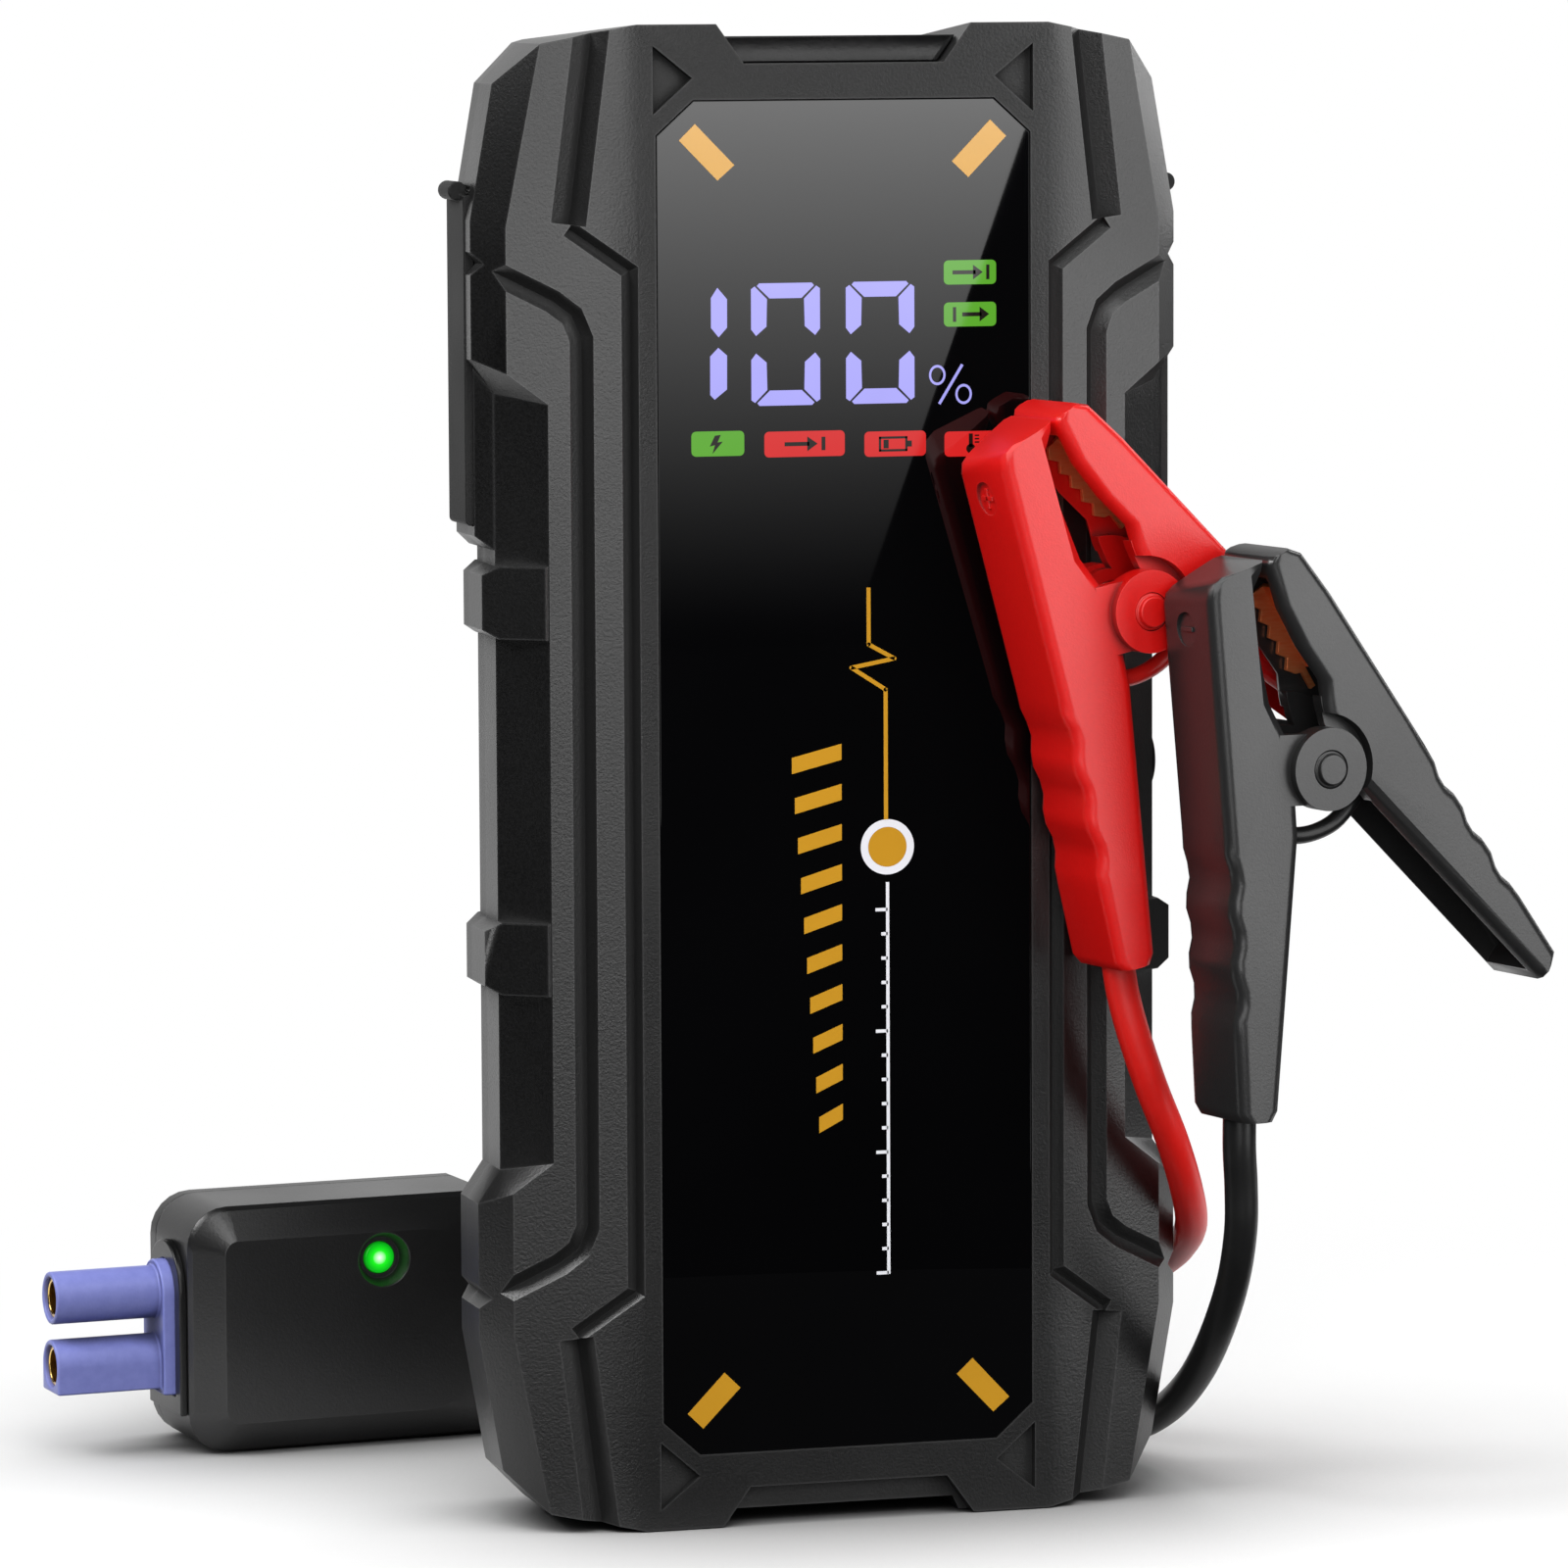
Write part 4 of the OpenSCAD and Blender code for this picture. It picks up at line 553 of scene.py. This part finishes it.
dressed = {
    "front_cover": ("armour", "armour_plastic", 0.35), "back_cover": ("back", "back_plastic", 0.35),
    "display_glass": ("glass", "display_glass", 0.15), "top_end_piece": ("endPiece", "gloss_black", 0.3),
    "torch_lens": ("lens", "clear_lens", 0.15), "power_button": ("button", "button_plastic", 0.4),
    "port_flap": ("flap", "flap_rubber", 0.3), "jump_flap": ("flap", "flap_rubber", 0.3),
    "cover_screws": ("screwSteel", "screw_steel", 0.15), "module_screws": ("screwSteel", "screw_steel", 0.15),
    "usb_a_ports": ("nickel", "nickel", 0.1), "usb_c_port": ("nickel", "nickel", 0.08),
    "jump_socket": ("plugBlue", "socket_blue", 0.25), "jump_socket_pins": ("gold", "gold", 0.2),
    "module_front_shell": ("module", "module_plastic", 0.5), "module_back_shell": ("module", "module_plastic", 0.5),
    "module_lamp": ("lamp", "lamp_green", 0.4), "plug_seat": ("seat", "gloss_black", 0.25),
    "plug_housing": ("plugBlue", "socket_blue", 0.35),
    "lead_gland": ("flap", "gland_rubber", 0.3)}
for node, (material, slot, edge) in dressed.items():
    dressedCopy(node, material, slot, edge)

# in millimetres of the module's or the clamp's own frame
contactEnds = {"from": -17.2, "shift": -1.4}   # the hollow ends reach almost to the barrels' mouths
armNose = {"from": 27.2, "to": 29.5, "upFrom": 28.0, "left": -18.0, "right": -14.5, "across": 4.0, "up": 1.7}
armSlope = {"from": 23.0, "to": 29.5, "inner": -14.0, "outer": -20.0, "half": 7.4,
            "front": 1.3, "back": -2.6, "in": 0.8}


def longerContact(point):
    local = moduleFrame.inverted() @ point / mm
    if local.x < contactEnds["from"]:
        local.x += contactEnds["shift"]
    return moduleFrame @ (local * mm)


def share(value, low, high):
    # how far a value has come from low to high, from 0 to 1
    return min(max((value - low) / (high - low), 0), 1)


def nosedArm(place):
    # the fixed arm's tip reaches over to the moving arm's, and its outer side slopes down to the back
    look, slope = armNose, armSlope
    back = place.inverted()

    def shaped(point):
        local = back @ point / mm
        inward = share(local.x, look["left"], look["right"])
        rise = share(local.z, look["upFrom"], look["to"])
        reach = share(local.z, look["from"], look["to"])
        outward = share(local.x, slope["inner"], slope["outer"]) * share(local.z, slope["from"], slope["to"])
        lean = (1 + local.y / slope["half"]) / 2   # 0 at the front, 1 at the back
        fall = slope["front"] * (1 - lean) + slope["back"] * lean
        local.x += look["across"] * inward * reach + slope["in"] * outward
        local.z += look["up"] * inward * rise + outward * fall
        return place @ (local * mm)
    return shaped


armEase = {"edge": 0.3, "angle": 52, "segments": 3, "flat": 1.5}
dressedCopy("plug_contacts", "gold", "gold", 0.2, shaped=longerContact)
for colour in ("red", "black"):
    plastic = "clampRed" if colour == "red" else "clampBlack"
    place = redFrame if colour == "red" else blackFrame
    for node, shaped in (("fixed_arm", nosedArm(place)), ("moving_arm", None)):
        dressedCopy(f"{colour}_{node}", plastic, f"{colour}_plastic", shaped=shaped, **armEase)
    dressedCopy(f"{colour}_pivot_pin", plastic, "pin_steel", 0.35, 24, 3)
    for node in ("fixed_jaw", "moving_jaw"):
        dressedCopy(f"{colour}_{node}", "copper", "copper", 0.12)
print("pieces dressed")

plain = {"display_board": ("board", "circuit_board"), "main_board": ("board", "circuit_board"),
         "port_board": ("board", "circuit_board"), "button_board": ("board", "circuit_board"),
         "module_board": ("board", "circuit_board"), "battery_cells": ("foil", "cell_foil"),
         "battery_pads": ("foam", "foam"), "cell_tabs": ("nickel", "nickel"), "torch_led": ("ledYellow", "led_resin")}
for node, (material, slot) in plain.items():
    piece = frame["nodes"][node]
    piece.data.materials.clear()
    piece.data.materials.append(finish[material])
print("inner pieces painted")


# springs and bridge wires, round where the CAD solids have flats

springWire = {"diameter": 1.2, "radius": 3.4, "pitch": 1.7, "turn": 3 * 360 + 74, "from": 144, "steps": 78,
    "start": [(-13.6, -13), (-8.2, -5.5)],                          # x and z of its straight ends
    "end": [(7, 1.1), (13, -1.2), (20.2, -5.6), (23, -9.3)]}
bridgeWire = {"diameter": 2.6,
    "points": [(-9, 0, -4), (-8, 0, -7.4), (-4, 0, -10), (1, 0, -10.6), (6, 0, -9), (9.6, 0, -5.4)]}


def springRoute(look):
    half = look["pitch"] * look["turn"] / 720
    coil = []
    for i in range(look["steps"] + 1):
        along = i / look["steps"]
        angle = radians(look["from"] - look["turn"] * along)
        coil.append(Vector((look["radius"] * cos(angle), half * (2 * along - 1), look["radius"] * sin(angle))))
    start = [Vector((x, -half, z)) for x, z in look["start"]]
    end = [Vector((x, half, z)) for x, z in look["end"]]
    return start + coil + end


def bendingWire(name, node, route, diameter, place, material):
    # a round wire laid along its route between the fixed arm and the jaw's arm
    curve = makeCurve(name + "Line", [place @ (p * mm) / mm for p in route], diameter * mm, finish[material], 4)
    bpy.context.view_layer.update()
    shape = bpy.data.meshes.new_from_object(curve.evaluated_get(bpy.context.evaluated_depsgraph_get()))
    bpy.data.objects.remove(curve)
    piece = bpy.data.objects.new(name, shape)
    scene.collection.objects.link(piece)
    for face in shape.polygons:
        face.use_smooth = True
    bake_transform(piece)
    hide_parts(node)


for colour, place in (("red", redFrame), ("black", blackFrame)):
    rubber = "leadRed" if colour == "red" else "leadBlack"
    bendingWire(colour + "SpringRound", colour + "_spring", springRoute(springWire), springWire["diameter"], place,
        "springSteel")
    bendingWire(colour + "BridgeRound", colour + "_bridge_wire", smoothRoute(bridgeWire["points"], 6),
        bridgeWire["diameter"], place, rubber)
print("springs and bridge wires wound")


# marks on the screen

printRise = 0.05 * mm   # how far a printed mark stands on the glass
printSink = 0.01 * mm   # and how far it goes into it


def markPiece(name, mesh, material):
    # the piece made of a mark's mesh, on the pack
    bmesh.ops.recalc_face_normals(mesh, faces=mesh.faces)
    piece = bpy.data.objects.new(name, bpy.data.meshes.new(name))
    mesh.to_mesh(piece.data)
    mesh.free()
    scene.collection.objects.link(piece)
    return finishPiece(piece, "pack", finish[material])


def raiseFaces(mesh, faces, rise):
    grown = bmesh.ops.extrude_face_region(mesh, geom=faces)
    front = [v for v in grown["geom"] if isinstance(v, bmesh.types.BMVert)]
    bmesh.ops.translate(mesh, verts=front, vec=(0, -rise - printSink, 0))


def flatMark(name, outlines, material, y=glassFace, rise=printRise):
    # flat shapes in x and z millimetres, raised a little off the glass
    mesh = bmesh.new()
    for outline in outlines:
        face = mesh.faces.new([mesh.verts.new((x * mm, y + printSink, z * mm)) for x, z in outline])
        face.normal_update()
        if face.normal.y > 0:
            face.normal_flip()
        raiseFaces(mesh, [face], rise)
    return markPiece(name, mesh, material)


def circleOutline(x, z, r, sides=48, squeeze=1.0):
    turns = [2 * pi * k / sides for k in range(sides)]
    return [(x + r * squeeze * cos(turn), z + r * sin(turn)) for turn in turns]


def roundedTag(x, z, width, height, corner=0.7):
    # outline of a tag with rounded corners, from its lower left corner
    outline = []
    for cx, cz, start in ((width - corner, height - corner, 0), (corner, height - corner, 90),
                          (corner, corner, 180), (width - corner, corner, 270)):
        for k in range(5):
            a = radians(start + 22.5 * k)
            outline.append((x + cx + corner * cos(a), z + cz + corner * sin(a)))
    return outline


def bar(a, b, width):
    # outline of a straight bar between two points
    along = (Vector(b) - Vector(a)).normalized()
    side = Vector((-along.y, along.x)) * width / 2
    return [tuple(Vector(a) + side), tuple(Vector(a) - side), tuple(Vector(b) - side), tuple(Vector(b) + side)]


digitShape = {"middle": 176.8, "width": 10.7,   # one upper side bar and the top bar, the rest are mirrored
    "side": [(0.05, 8.2), (0.6, 8.6), (2.5, 6.7), (2.4, 2.65), (0.8, 1.3), (0.05, 2.25)],
    "end": [(1.3, 9.05), (9.4, 9.05), (9.75, 8.65), (7.8, 6.8), (2.9, 6.8), (0.95, 8.65)]}


def zeroDigit(x):
    mid = digitShape["middle"]
    pieces = []
    for flipX in (1, -1):
        for flipZ in (1, -1):
            side = [(p if flipX > 0 else digitShape["width"] - p, q) for p, q in digitShape["side"]]
            pieces.append([(x + p, mid + flipZ * q) for p, q in side])
    for flipZ in (1, -1):
        pieces.append([(x + p, mid + flipZ * q) for p, q in digitShape["end"]])
    return pieces


oneDigit = [[(-19.6, 185.3), (-18.13, 183.6), (-18.15, 179.4), (-19.44, 178.0), (-20.6, 179.4), (-20.6, 183.8)],
            [(-19.5, 176.45), (-18.17, 175.3), (-18.2, 170.3), (-20.1, 168.8), (-20.77, 169.5), (-20.75, 175.2)]]
flatMark("readoutDigits", oneDigit + zeroDigit(-14.5) + zeroDigit(0.1), "digit")


def ringMark(name, x, z, outer, inner, material, squeeze=1.0, sides=64):
    # a flat ring that stands a little off the glass
    mesh = bmesh.new()
    loops = []
    for radius in (outer, inner):
        outline = circleOutline(x, z, radius, sides, squeeze)
        loops.append([mesh.verts.new((px * mm, glassFace + printSink, pz * mm)) for px, pz in outline])
    for k in range(sides):
        after = (k + 1) % sides
        mesh.faces.new((loops[0][k], loops[0][after], loops[1][after], loops[1][k]))
    raiseFaces(mesh, mesh.faces[:], printRise)
    return markPiece(name, mesh, material)


percent = {"upper": (14.3, 171.8), "lower": (18.4, 168.9), "outer": 1.5, "inner": 1.12, "squeeze": 0.85,
           "stroke": ((14.6, 167.5), (18.2, 173.3)), "strokeWidth": 0.42}
for name, spot in (("percentUpper", percent["upper"]), ("percentLower", percent["lower"])):
    ringMark(name, *spot, percent["outer"], percent["inner"], "digit", percent["squeeze"])
flatMark("percentStroke", [bar(*percent["stroke"], percent["strokeWidth"])], "digit")

tags = {"chargeTag": (-23.7, 160.45, 8.1, 3.7, "tagGreen"), "startTag": (-12.5, 160.1, 12.4, 3.8, "tagRed"),
        "lowTag": (2.95, 159.85, 9.55, 3.75, "tagRed"), "heatTag": (15.4, 159.6, 8.2, 3.75, "tagRed"),
        "inTag": (15.35, 185.2, 8.15, 3.6, "tagGreen"), "outTag": (15.35, 178.95, 8.15, 3.6, "tagGreen")}
for name, (x, z, width, height, material) in tags.items():
    flatMark(name, [roundedTag(x, z, width, height)], material)

iconFace = glassFace - printRise
icons = [
    # bolt
    [(-20.1, 163.5), (-20.9, 161.9), (-20.1, 162.1), (-20.5, 160.8), (-18.9, 162.6), (-19.7, 162.5),
     (-19.2, 163.6)],
    # start arrow
    bar((-9.4, 162.0), (-5.6, 162.0), 0.6),
    [(-5.9, 163.1), (-4.3, 162.0), (-5.9, 160.9)],
    bar((-3.4, 161.0), (-3.4, 163.0), 0.6),
    # low cell
    bar((5.2, 160.75), (9.6, 160.75), 0.35),
    bar((5.2, 162.65), (9.6, 162.65), 0.35),
    bar((5.35, 160.6), (5.35, 162.8), 0.35),
    bar((9.45, 160.6), (9.45, 162.8), 0.35),
    bar((9.6, 161.7), (10.3, 161.7), 0.9),
    bar((5.9, 161.7), (6.7, 161.7), 1.3),
    # thermometer
    circleOutline(19.5, 160.75, 0.72, 20),
    bar((19.5, 161.0), (19.5, 163.0), 0.62),
    *[bar((20.1, z), (20.8, z), 0.22) for z in (161.7, 162.2, 162.7)],
    # in
    bar((16.7, 187.0), (20.3, 187.0), 0.6),
    [(19.9, 188.1), (21.4, 187.0), (19.9, 185.9)],
    bar((22.2, 185.9), (22.2, 188.1), 0.5),
    # out
    bar((18.2, 180.75), (21.2, 180.75), 0.6),
    [(20.9, 181.85), (22.4, 180.75), (20.9, 179.65)],
    bar((17.0, 179.65), (17.0, 181.85), 0.5)]
flatMark("tagIcons", icons, "darkPrint", y=iconFace, rise=0.03 * mm)

cornerStrips = [[(-22.9, 209.4), (-16.9, 203.3), (-19.5, 201.05), (-25.35, 207.0)],
                [(22.6, 209.6), (25.1, 207.15), (19.2, 201.1), (16.65, 203.5)],
                [(-19.4, 23.35), (-16.95, 20.95), (-22.75, 15.05), (-25.15, 17.4)],
                [(19.45, 23.5), (25.25, 17.3), (22.7, 15.15), (16.95, 21.2)]]
flatMark("cornerStrips", cornerStrips, "goldPrint")

pulse = {"points": [(3.5, 140.4), (3.5, 131.9), (7.5, 129.7), (0.8, 128.5), (6.1, 125.1), (6.1, 105.6)], "width": 0.62}


def jointedLine(points, width):
    # one bar for each leg of a line, and a dot at each bend
    legs = [bar(a, b, width) for a, b in zip(points, points[1:])]
    return legs + [circleOutline(x, z, width / 2, 12) for x, z in points[1:-1]]


flatMark("pulseLine", jointedLine(pulse["points"], pulse["width"]), "goldPrint")
selector = {"at": (6.3, 101.5), "outer": 4.15, "inner": 3.0, "dot": 2.98}
ringMark("selectRing", *selector["at"], selector["outer"], selector["inner"], "whitePrint")
flatMark("selectDot", [circleOutline(*selector["at"], selector["dot"])], "goldPrint")

levelScale = {"left": -8.5, "right": -0.8, "low": 58.8, "high": 117.2, "bars": 10, "gap": 1.7, "slant": 1.9,
              "shortest": 0.42}


def levelBars(look):
    # a ladder of slanted bars that grows towards its top
    pitch = (look["high"] - look["low"] + look["gap"]) / look["bars"]
    tall = pitch - look["gap"] - look["slant"]
    right, bars = look["right"], []
    for i in range(look["bars"]):
        low = look["low"] + i * pitch
        rise = low + look["slant"]
        width = look["shortest"] + (1 - look["shortest"]) * (i + 1) / look["bars"]
        left = right - (right - look["left"]) * width
        bars.append([(left, low), (right, rise), (right, rise + tall), (left, low + tall)])
    return bars


flatMark("levelBars", levelBars(levelScale), "goldPrint")


tickScale = {"x": 6.3, "top": 96.2, "low": 37.0, "first": 37.2, "pitch": 3.66, "count": 16, "long": 1.9,
             "short": 1.0, "longEvery": 5, "width": 0.5}


def scaleTicks(look):
    # a fine upright line with ticks to its left
    x, width = look["x"], look["width"]
    ticks = [bar((x, look["top"]), (x, look["low"]), width)]
    for i in range(look["count"]):
        z = look["first"] + look["pitch"] * i
        length = look["short"] if i % look["longEvery"] else look["long"]
        ticks.append(bar((x - length, z), (x, z), width))
    return ticks


flatMark("scaleTicks", scaleTicks(tickScale), "whitePrint")
print("screen marked")


# marks on the clamps: a plus and a minus in their round recesses

poleMark = {"floor": -19.22, "rise": 0.32, "height": 21.0, "reach": 1.55, "width": 0.75, "ease": 0.12}


def poleBars(name, place, crossed, body, material):
    look = poleMark
    mesh = bmesh.new()
    turns = (0, pi / 2) if crossed else (0,)
    for turn in turns:
        made = bmesh.ops.create_cube(mesh, size=1.0)
        bmesh.ops.scale(mesh, verts=made["verts"], vec=(look["rise"] * 2, look["reach"] * 2, look["width"]))
        bmesh.ops.rotate(mesh, verts=made["verts"], cent=(0, 0, 0), matrix=Matrix.Rotation(turn, 3, "X"))
    bmesh.ops.translate(mesh, verts=mesh.verts, vec=(look["floor"], 0, look["height"]))
    bmesh.ops.scale(mesh, verts=mesh.verts, vec=(mm, mm, mm))
    bmesh.ops.transform(mesh, matrix=place, verts=mesh.verts)
    piece = bpy.data.objects.new(name, bpy.data.meshes.new(name))
    mesh.to_mesh(piece.data)
    mesh.free()
    scene.collection.objects.link(piece)
    ease = piece.modifiers.new("easedEdges", "BEVEL")
    ease.width, ease.segments = look["ease"] * mm, 2
    return finishPiece(piece, body, material)


poleBars("redPlus", redFrame, True, "lead_set", finish["clampRed"])
poleBars("blackMinus", blackFrame, False, "lead_set", finish["clampBlack"])
print("clamps marked")


# floor, backdrop and lights

studio = {"floorSize": 0.3, "floorAt": (0.02, 0.06, -0.0002), "fade": (0.09, 0.25), "floorSeen": (0.88, 0.88, 0.88),
          "floorBounce": (0.02, 0.02, 0.02), "frontFlag": (-0.1, -0.05), "paintedShadowReach": 0.07,
          "paintedShadowPower": 1.1, "ambient": 0.5, "room": 0.004, "backdropTo": (0, 1, 0), "backdropEdge": (0.86, 0.93)}


def makeFloor(look):
    # pale with the object's shadow near it, cast by the lights and deepened by a painted shadow in its colour, white
    # further out
    mesh = bmesh.new()
    bmesh.ops.create_circle(mesh, cap_ends=True, radius=look["floorSize"], segments=96)
    floor = bpy.data.objects.new("floor", bpy.data.meshes.new("floor"))
    mesh.to_mesh(floor.data)
    mesh.free()
    scene.collection.objects.link(floor)
    floor.location = look["floorAt"]
    material, tree, shader = newMaterial("studioFloor", Roughness=0.9, Specular_IOR_Level=0.1)
    link = tree.links.new
    rays = tree.nodes.new("ShaderNodeLightPath")
    place = tree.nodes.new("ShaderNodeTexCoord")
    # painted shadow: the floor's colour darkens where the object is near
    paintedShadow = addNode(tree, "ShaderNodeAmbientOcclusion", samples=24, Distance=look["paintedShadowReach"])
    tone = addNode(tree, "ShaderNodeMath", operation="POWER")
    tone.inputs[1].default_value = look["paintedShadowPower"]
    link(paintedShadow.outputs["AO"], tone.inputs[0])
    paint = addNode(tree, "ShaderNodeMix", data_type="RGBA")
    paint.inputs["A"].default_value = (0, 0, 0, 1)
    paint.inputs["B"].default_value = (*look["floorSeen"], 1)
    link(tone.outputs[0], paint.inputs["Factor"])
    link(paint.outputs["Result"], shader.inputs["Base Color"])
    reach = addNode(tree, "ShaderNodeVectorMath", operation="LENGTH")
    link(place.outputs["Object"], reach.inputs[0])
    far = addNode(tree, "ShaderNodeMapRange", interpolation_type="SMOOTHSTEP")
    link(reach.outputs["Value"], far.inputs["Value"])
    setRange(far, "From", look["fade"])
    white = addNode(tree, "ShaderNodeEmission", Strength=1.0)
    near = tree.nodes.new("ShaderNodeMixShader")
    link(far.outputs["Result"], near.inputs["Fac"])
    link(shader.outputs["BSDF"], near.inputs[1])
    link(white.outputs["Emission"], near.inputs[2])
    bounce = tree.nodes.new("ShaderNodeBsdfDiffuse")
    bounce.inputs["Color"].default_value = (*look["floorBounce"], 1)
    split = tree.nodes.new("ShaderNodeSeparateXYZ")
    link(place.outputs["Object"], split.inputs["Vector"])
    behind = addNode(tree, "ShaderNodeMapRange", interpolation_type="SMOOTHSTEP")   # gloss sees no front floor
    link(split.outputs["Y"], behind.inputs["Value"])
    setRange(behind, "From", look["frontFlag"])
    gloss = addNode(tree, "ShaderNodeMath", operation="MULTIPLY")
    link(rays.outputs["Is Glossy Ray"], gloss.inputs[0])
    link(behind.outputs["Result"], gloss.inputs[1])
    shown = tree.nodes.new("ShaderNodeMixShader")
    link(seenByEye(tree, rays, gloss.outputs[0]), shown.inputs["Fac"])
    link(bounce.outputs["BSDF"], shown.inputs[1])
    link(near.outputs["Shader"], shown.inputs[2])
    link(shown.outputs["Shader"], tree.nodes["Material Output"].inputs["Surface"])
    floor.data.materials.append(material)
    return floor


def seenByEye(tree, rays, gloss):
    # 1 for what the camera, glass and gloss see, 0 for light on the object
    total = addNode(tree, "ShaderNodeMath", operation="ADD")
    tree.links.new(rays.outputs["Is Camera Ray"], total.inputs[0])
    tree.links.new(rays.outputs["Is Transmission Ray"], total.inputs[1])
    every = addNode(tree, "ShaderNodeMath", operation="ADD", use_clamp=True)
    tree.links.new(total.outputs[0], every.inputs[0])
    tree.links.new(gloss, every.inputs[1])
    return every.outputs[0]


def makeWorld(look):
    # a white backdrop that gloss sees behind the object only, in a dark room, and a low fill
    world = bpy.data.worlds.new("studioWorld")
    world.use_nodes = True
    scene.world = world
    tree = world.node_tree
    link = tree.links.new
    rays = tree.nodes.new("ShaderNodeLightPath")
    fill = tree.nodes["Background"]
    fill.inputs["Color"].default_value = (1, 1, 1, 1)
    fill.inputs["Strength"].default_value = look["ambient"]
    place = tree.nodes.new("ShaderNodeTexCoord")
    facing = addNode(tree, "ShaderNodeVectorMath", operation="DOT_PRODUCT")
    link(place.outputs["Generated"], facing.inputs[0])
    facing.inputs[1].default_value = look["backdropTo"]
    spread = addNode(tree, "ShaderNodeMapRange", interpolation_type="SMOOTHSTEP")
    link(facing.outputs["Value"], spread.inputs["Value"])
    setRange(spread, "From", look["backdropEdge"])
    setRange(spread, "To", (look["room"], 1.0))
    inGloss = addNode(tree, "ShaderNodeMix", data_type="FLOAT")
    link(rays.outputs["Is Glossy Ray"], inGloss.inputs["Factor"])
    inGloss.inputs["A"].default_value = 1.0
    link(spread.outputs["Result"], inGloss.inputs["B"])
    white = addNode(tree, "ShaderNodeBackground")
    white.inputs["Color"].default_value = (1, 1, 1, 1)
    link(inGloss.outputs["Result"], white.inputs["Strength"])
    shown = tree.nodes.new("ShaderNodeMixShader")
    link(seenByEye(tree, rays, rays.outputs["Is Glossy Ray"]), shown.inputs["Fac"])
    link(fill.outputs["Background"], shown.inputs[1])
    link(white.outputs["Background"], shown.inputs[2])
    link(shown.outputs["Shader"], tree.nodes["World Output"].inputs["Surface"])


def addLight(name, azimuth, elevation, distance, size, radiance, target=(0, 0, 0.11)):
    # a soft box of a given width, height and brightness that faces its target
    data = bpy.data.lights.new(name, "AREA")
    data.shape = "RECTANGLE"
    data.size, data.size_y = size
    data.energy = radiance * pi * size[0] * size[1]
    lamp = bpy.data.objects.new(name, data)
    scene.collection.objects.link(lamp)
    a, e = radians(azimuth), radians(elevation)
    way = Vector((sin(a) * cos(e), -cos(a) * cos(e), sin(e)))
    lamp.location = Vector(target) + way * distance
    lamp.rotation_euler = way.to_track_quat("Z", "Y").to_euler()
    lamp.visible_camera = False
    return lamp


makeFloor(studio)
makeWorld(studio)
softBoxes = {   # azimuth from the front (positive to the right), elevation, distance, size, brightness
    "leftFront": (-13, 13, 1.0, (0.54, 0.70), 2.6),
    "leftHigh": (-90, 44, 1.1, (0.60, 0.50), 8.0),
    "rightFront": (43, 13, 0.8, (0.40, 0.75), 2.8),
    "overhead": (-4, 52, 1.2, (0.8, 0.6), 3.2),
    "backRight": (120, 20, 1.5, (0.5, 0.9), 3.0)}
for name, (azimuth, elevation, distance, size, radiance) in softBoxes.items():
    addLight(name, azimuth, elevation, distance, size, radiance)


# the bright card that the glass mirrors: grey at the top, gone by the middle, cut by a slant edge

mirrorCard = {"y": -1.162, "low": 0.03, "high": 0.193, "bright": 4.9, "power": 1.85,
    "outline": [(0.272, 0.200), (0.4065, 0.200), (0.3486, 0.0456), (0.3486, 0.029), (0.272, 0.029)]}


def makeMirrorCard(look):
    mesh = bpy.data.meshes.new("mirrorCard")
    mesh.from_pydata([(x, look["y"], z) for x, z in look["outline"]], [], [tuple(range(len(look["outline"])))])
    card = bpy.data.objects.new("mirrorCard", mesh)
    scene.collection.objects.link(card)
    material, tree, shader = newMaterial("cardGlow", Roughness=1.0)
    shader.inputs["Base Color"].default_value = (0, 0, 0, 1)
    shader.inputs["Specular IOR Level"].default_value = 0.0
    link = tree.links.new
    place = tree.nodes.new("ShaderNodeTexCoord")
    split = tree.nodes.new("ShaderNodeSeparateXYZ")
    link(place.outputs["Object"], split.inputs["Vector"])
    rise = addNode(tree, "ShaderNodeMapRange")
    link(split.outputs["Z"], rise.inputs["Value"])
    setRange(rise, "From", (look["low"], look["high"]))
    curve = addNode(tree, "ShaderNodeMath", operation="POWER")
    curve.inputs[1].default_value = look["power"]
    link(rise.outputs["Result"], curve.inputs[0])
    glow = addNode(tree, "ShaderNodeMath", operation="MULTIPLY")
    glow.inputs[1].default_value = look["bright"]
    link(curve.outputs[0], glow.inputs[0])
    shader.inputs["Emission Color"].default_value = (1, 1, 1, 1)
    link(glow.outputs[0], shader.inputs["Emission Strength"])
    card.data.materials.append(material)
    card.visible_camera = card.visible_diffuse = False
    card.visible_transmission = card.visible_shadow = False
    return card


makeMirrorCard(mirrorCard)
print("studio lit")
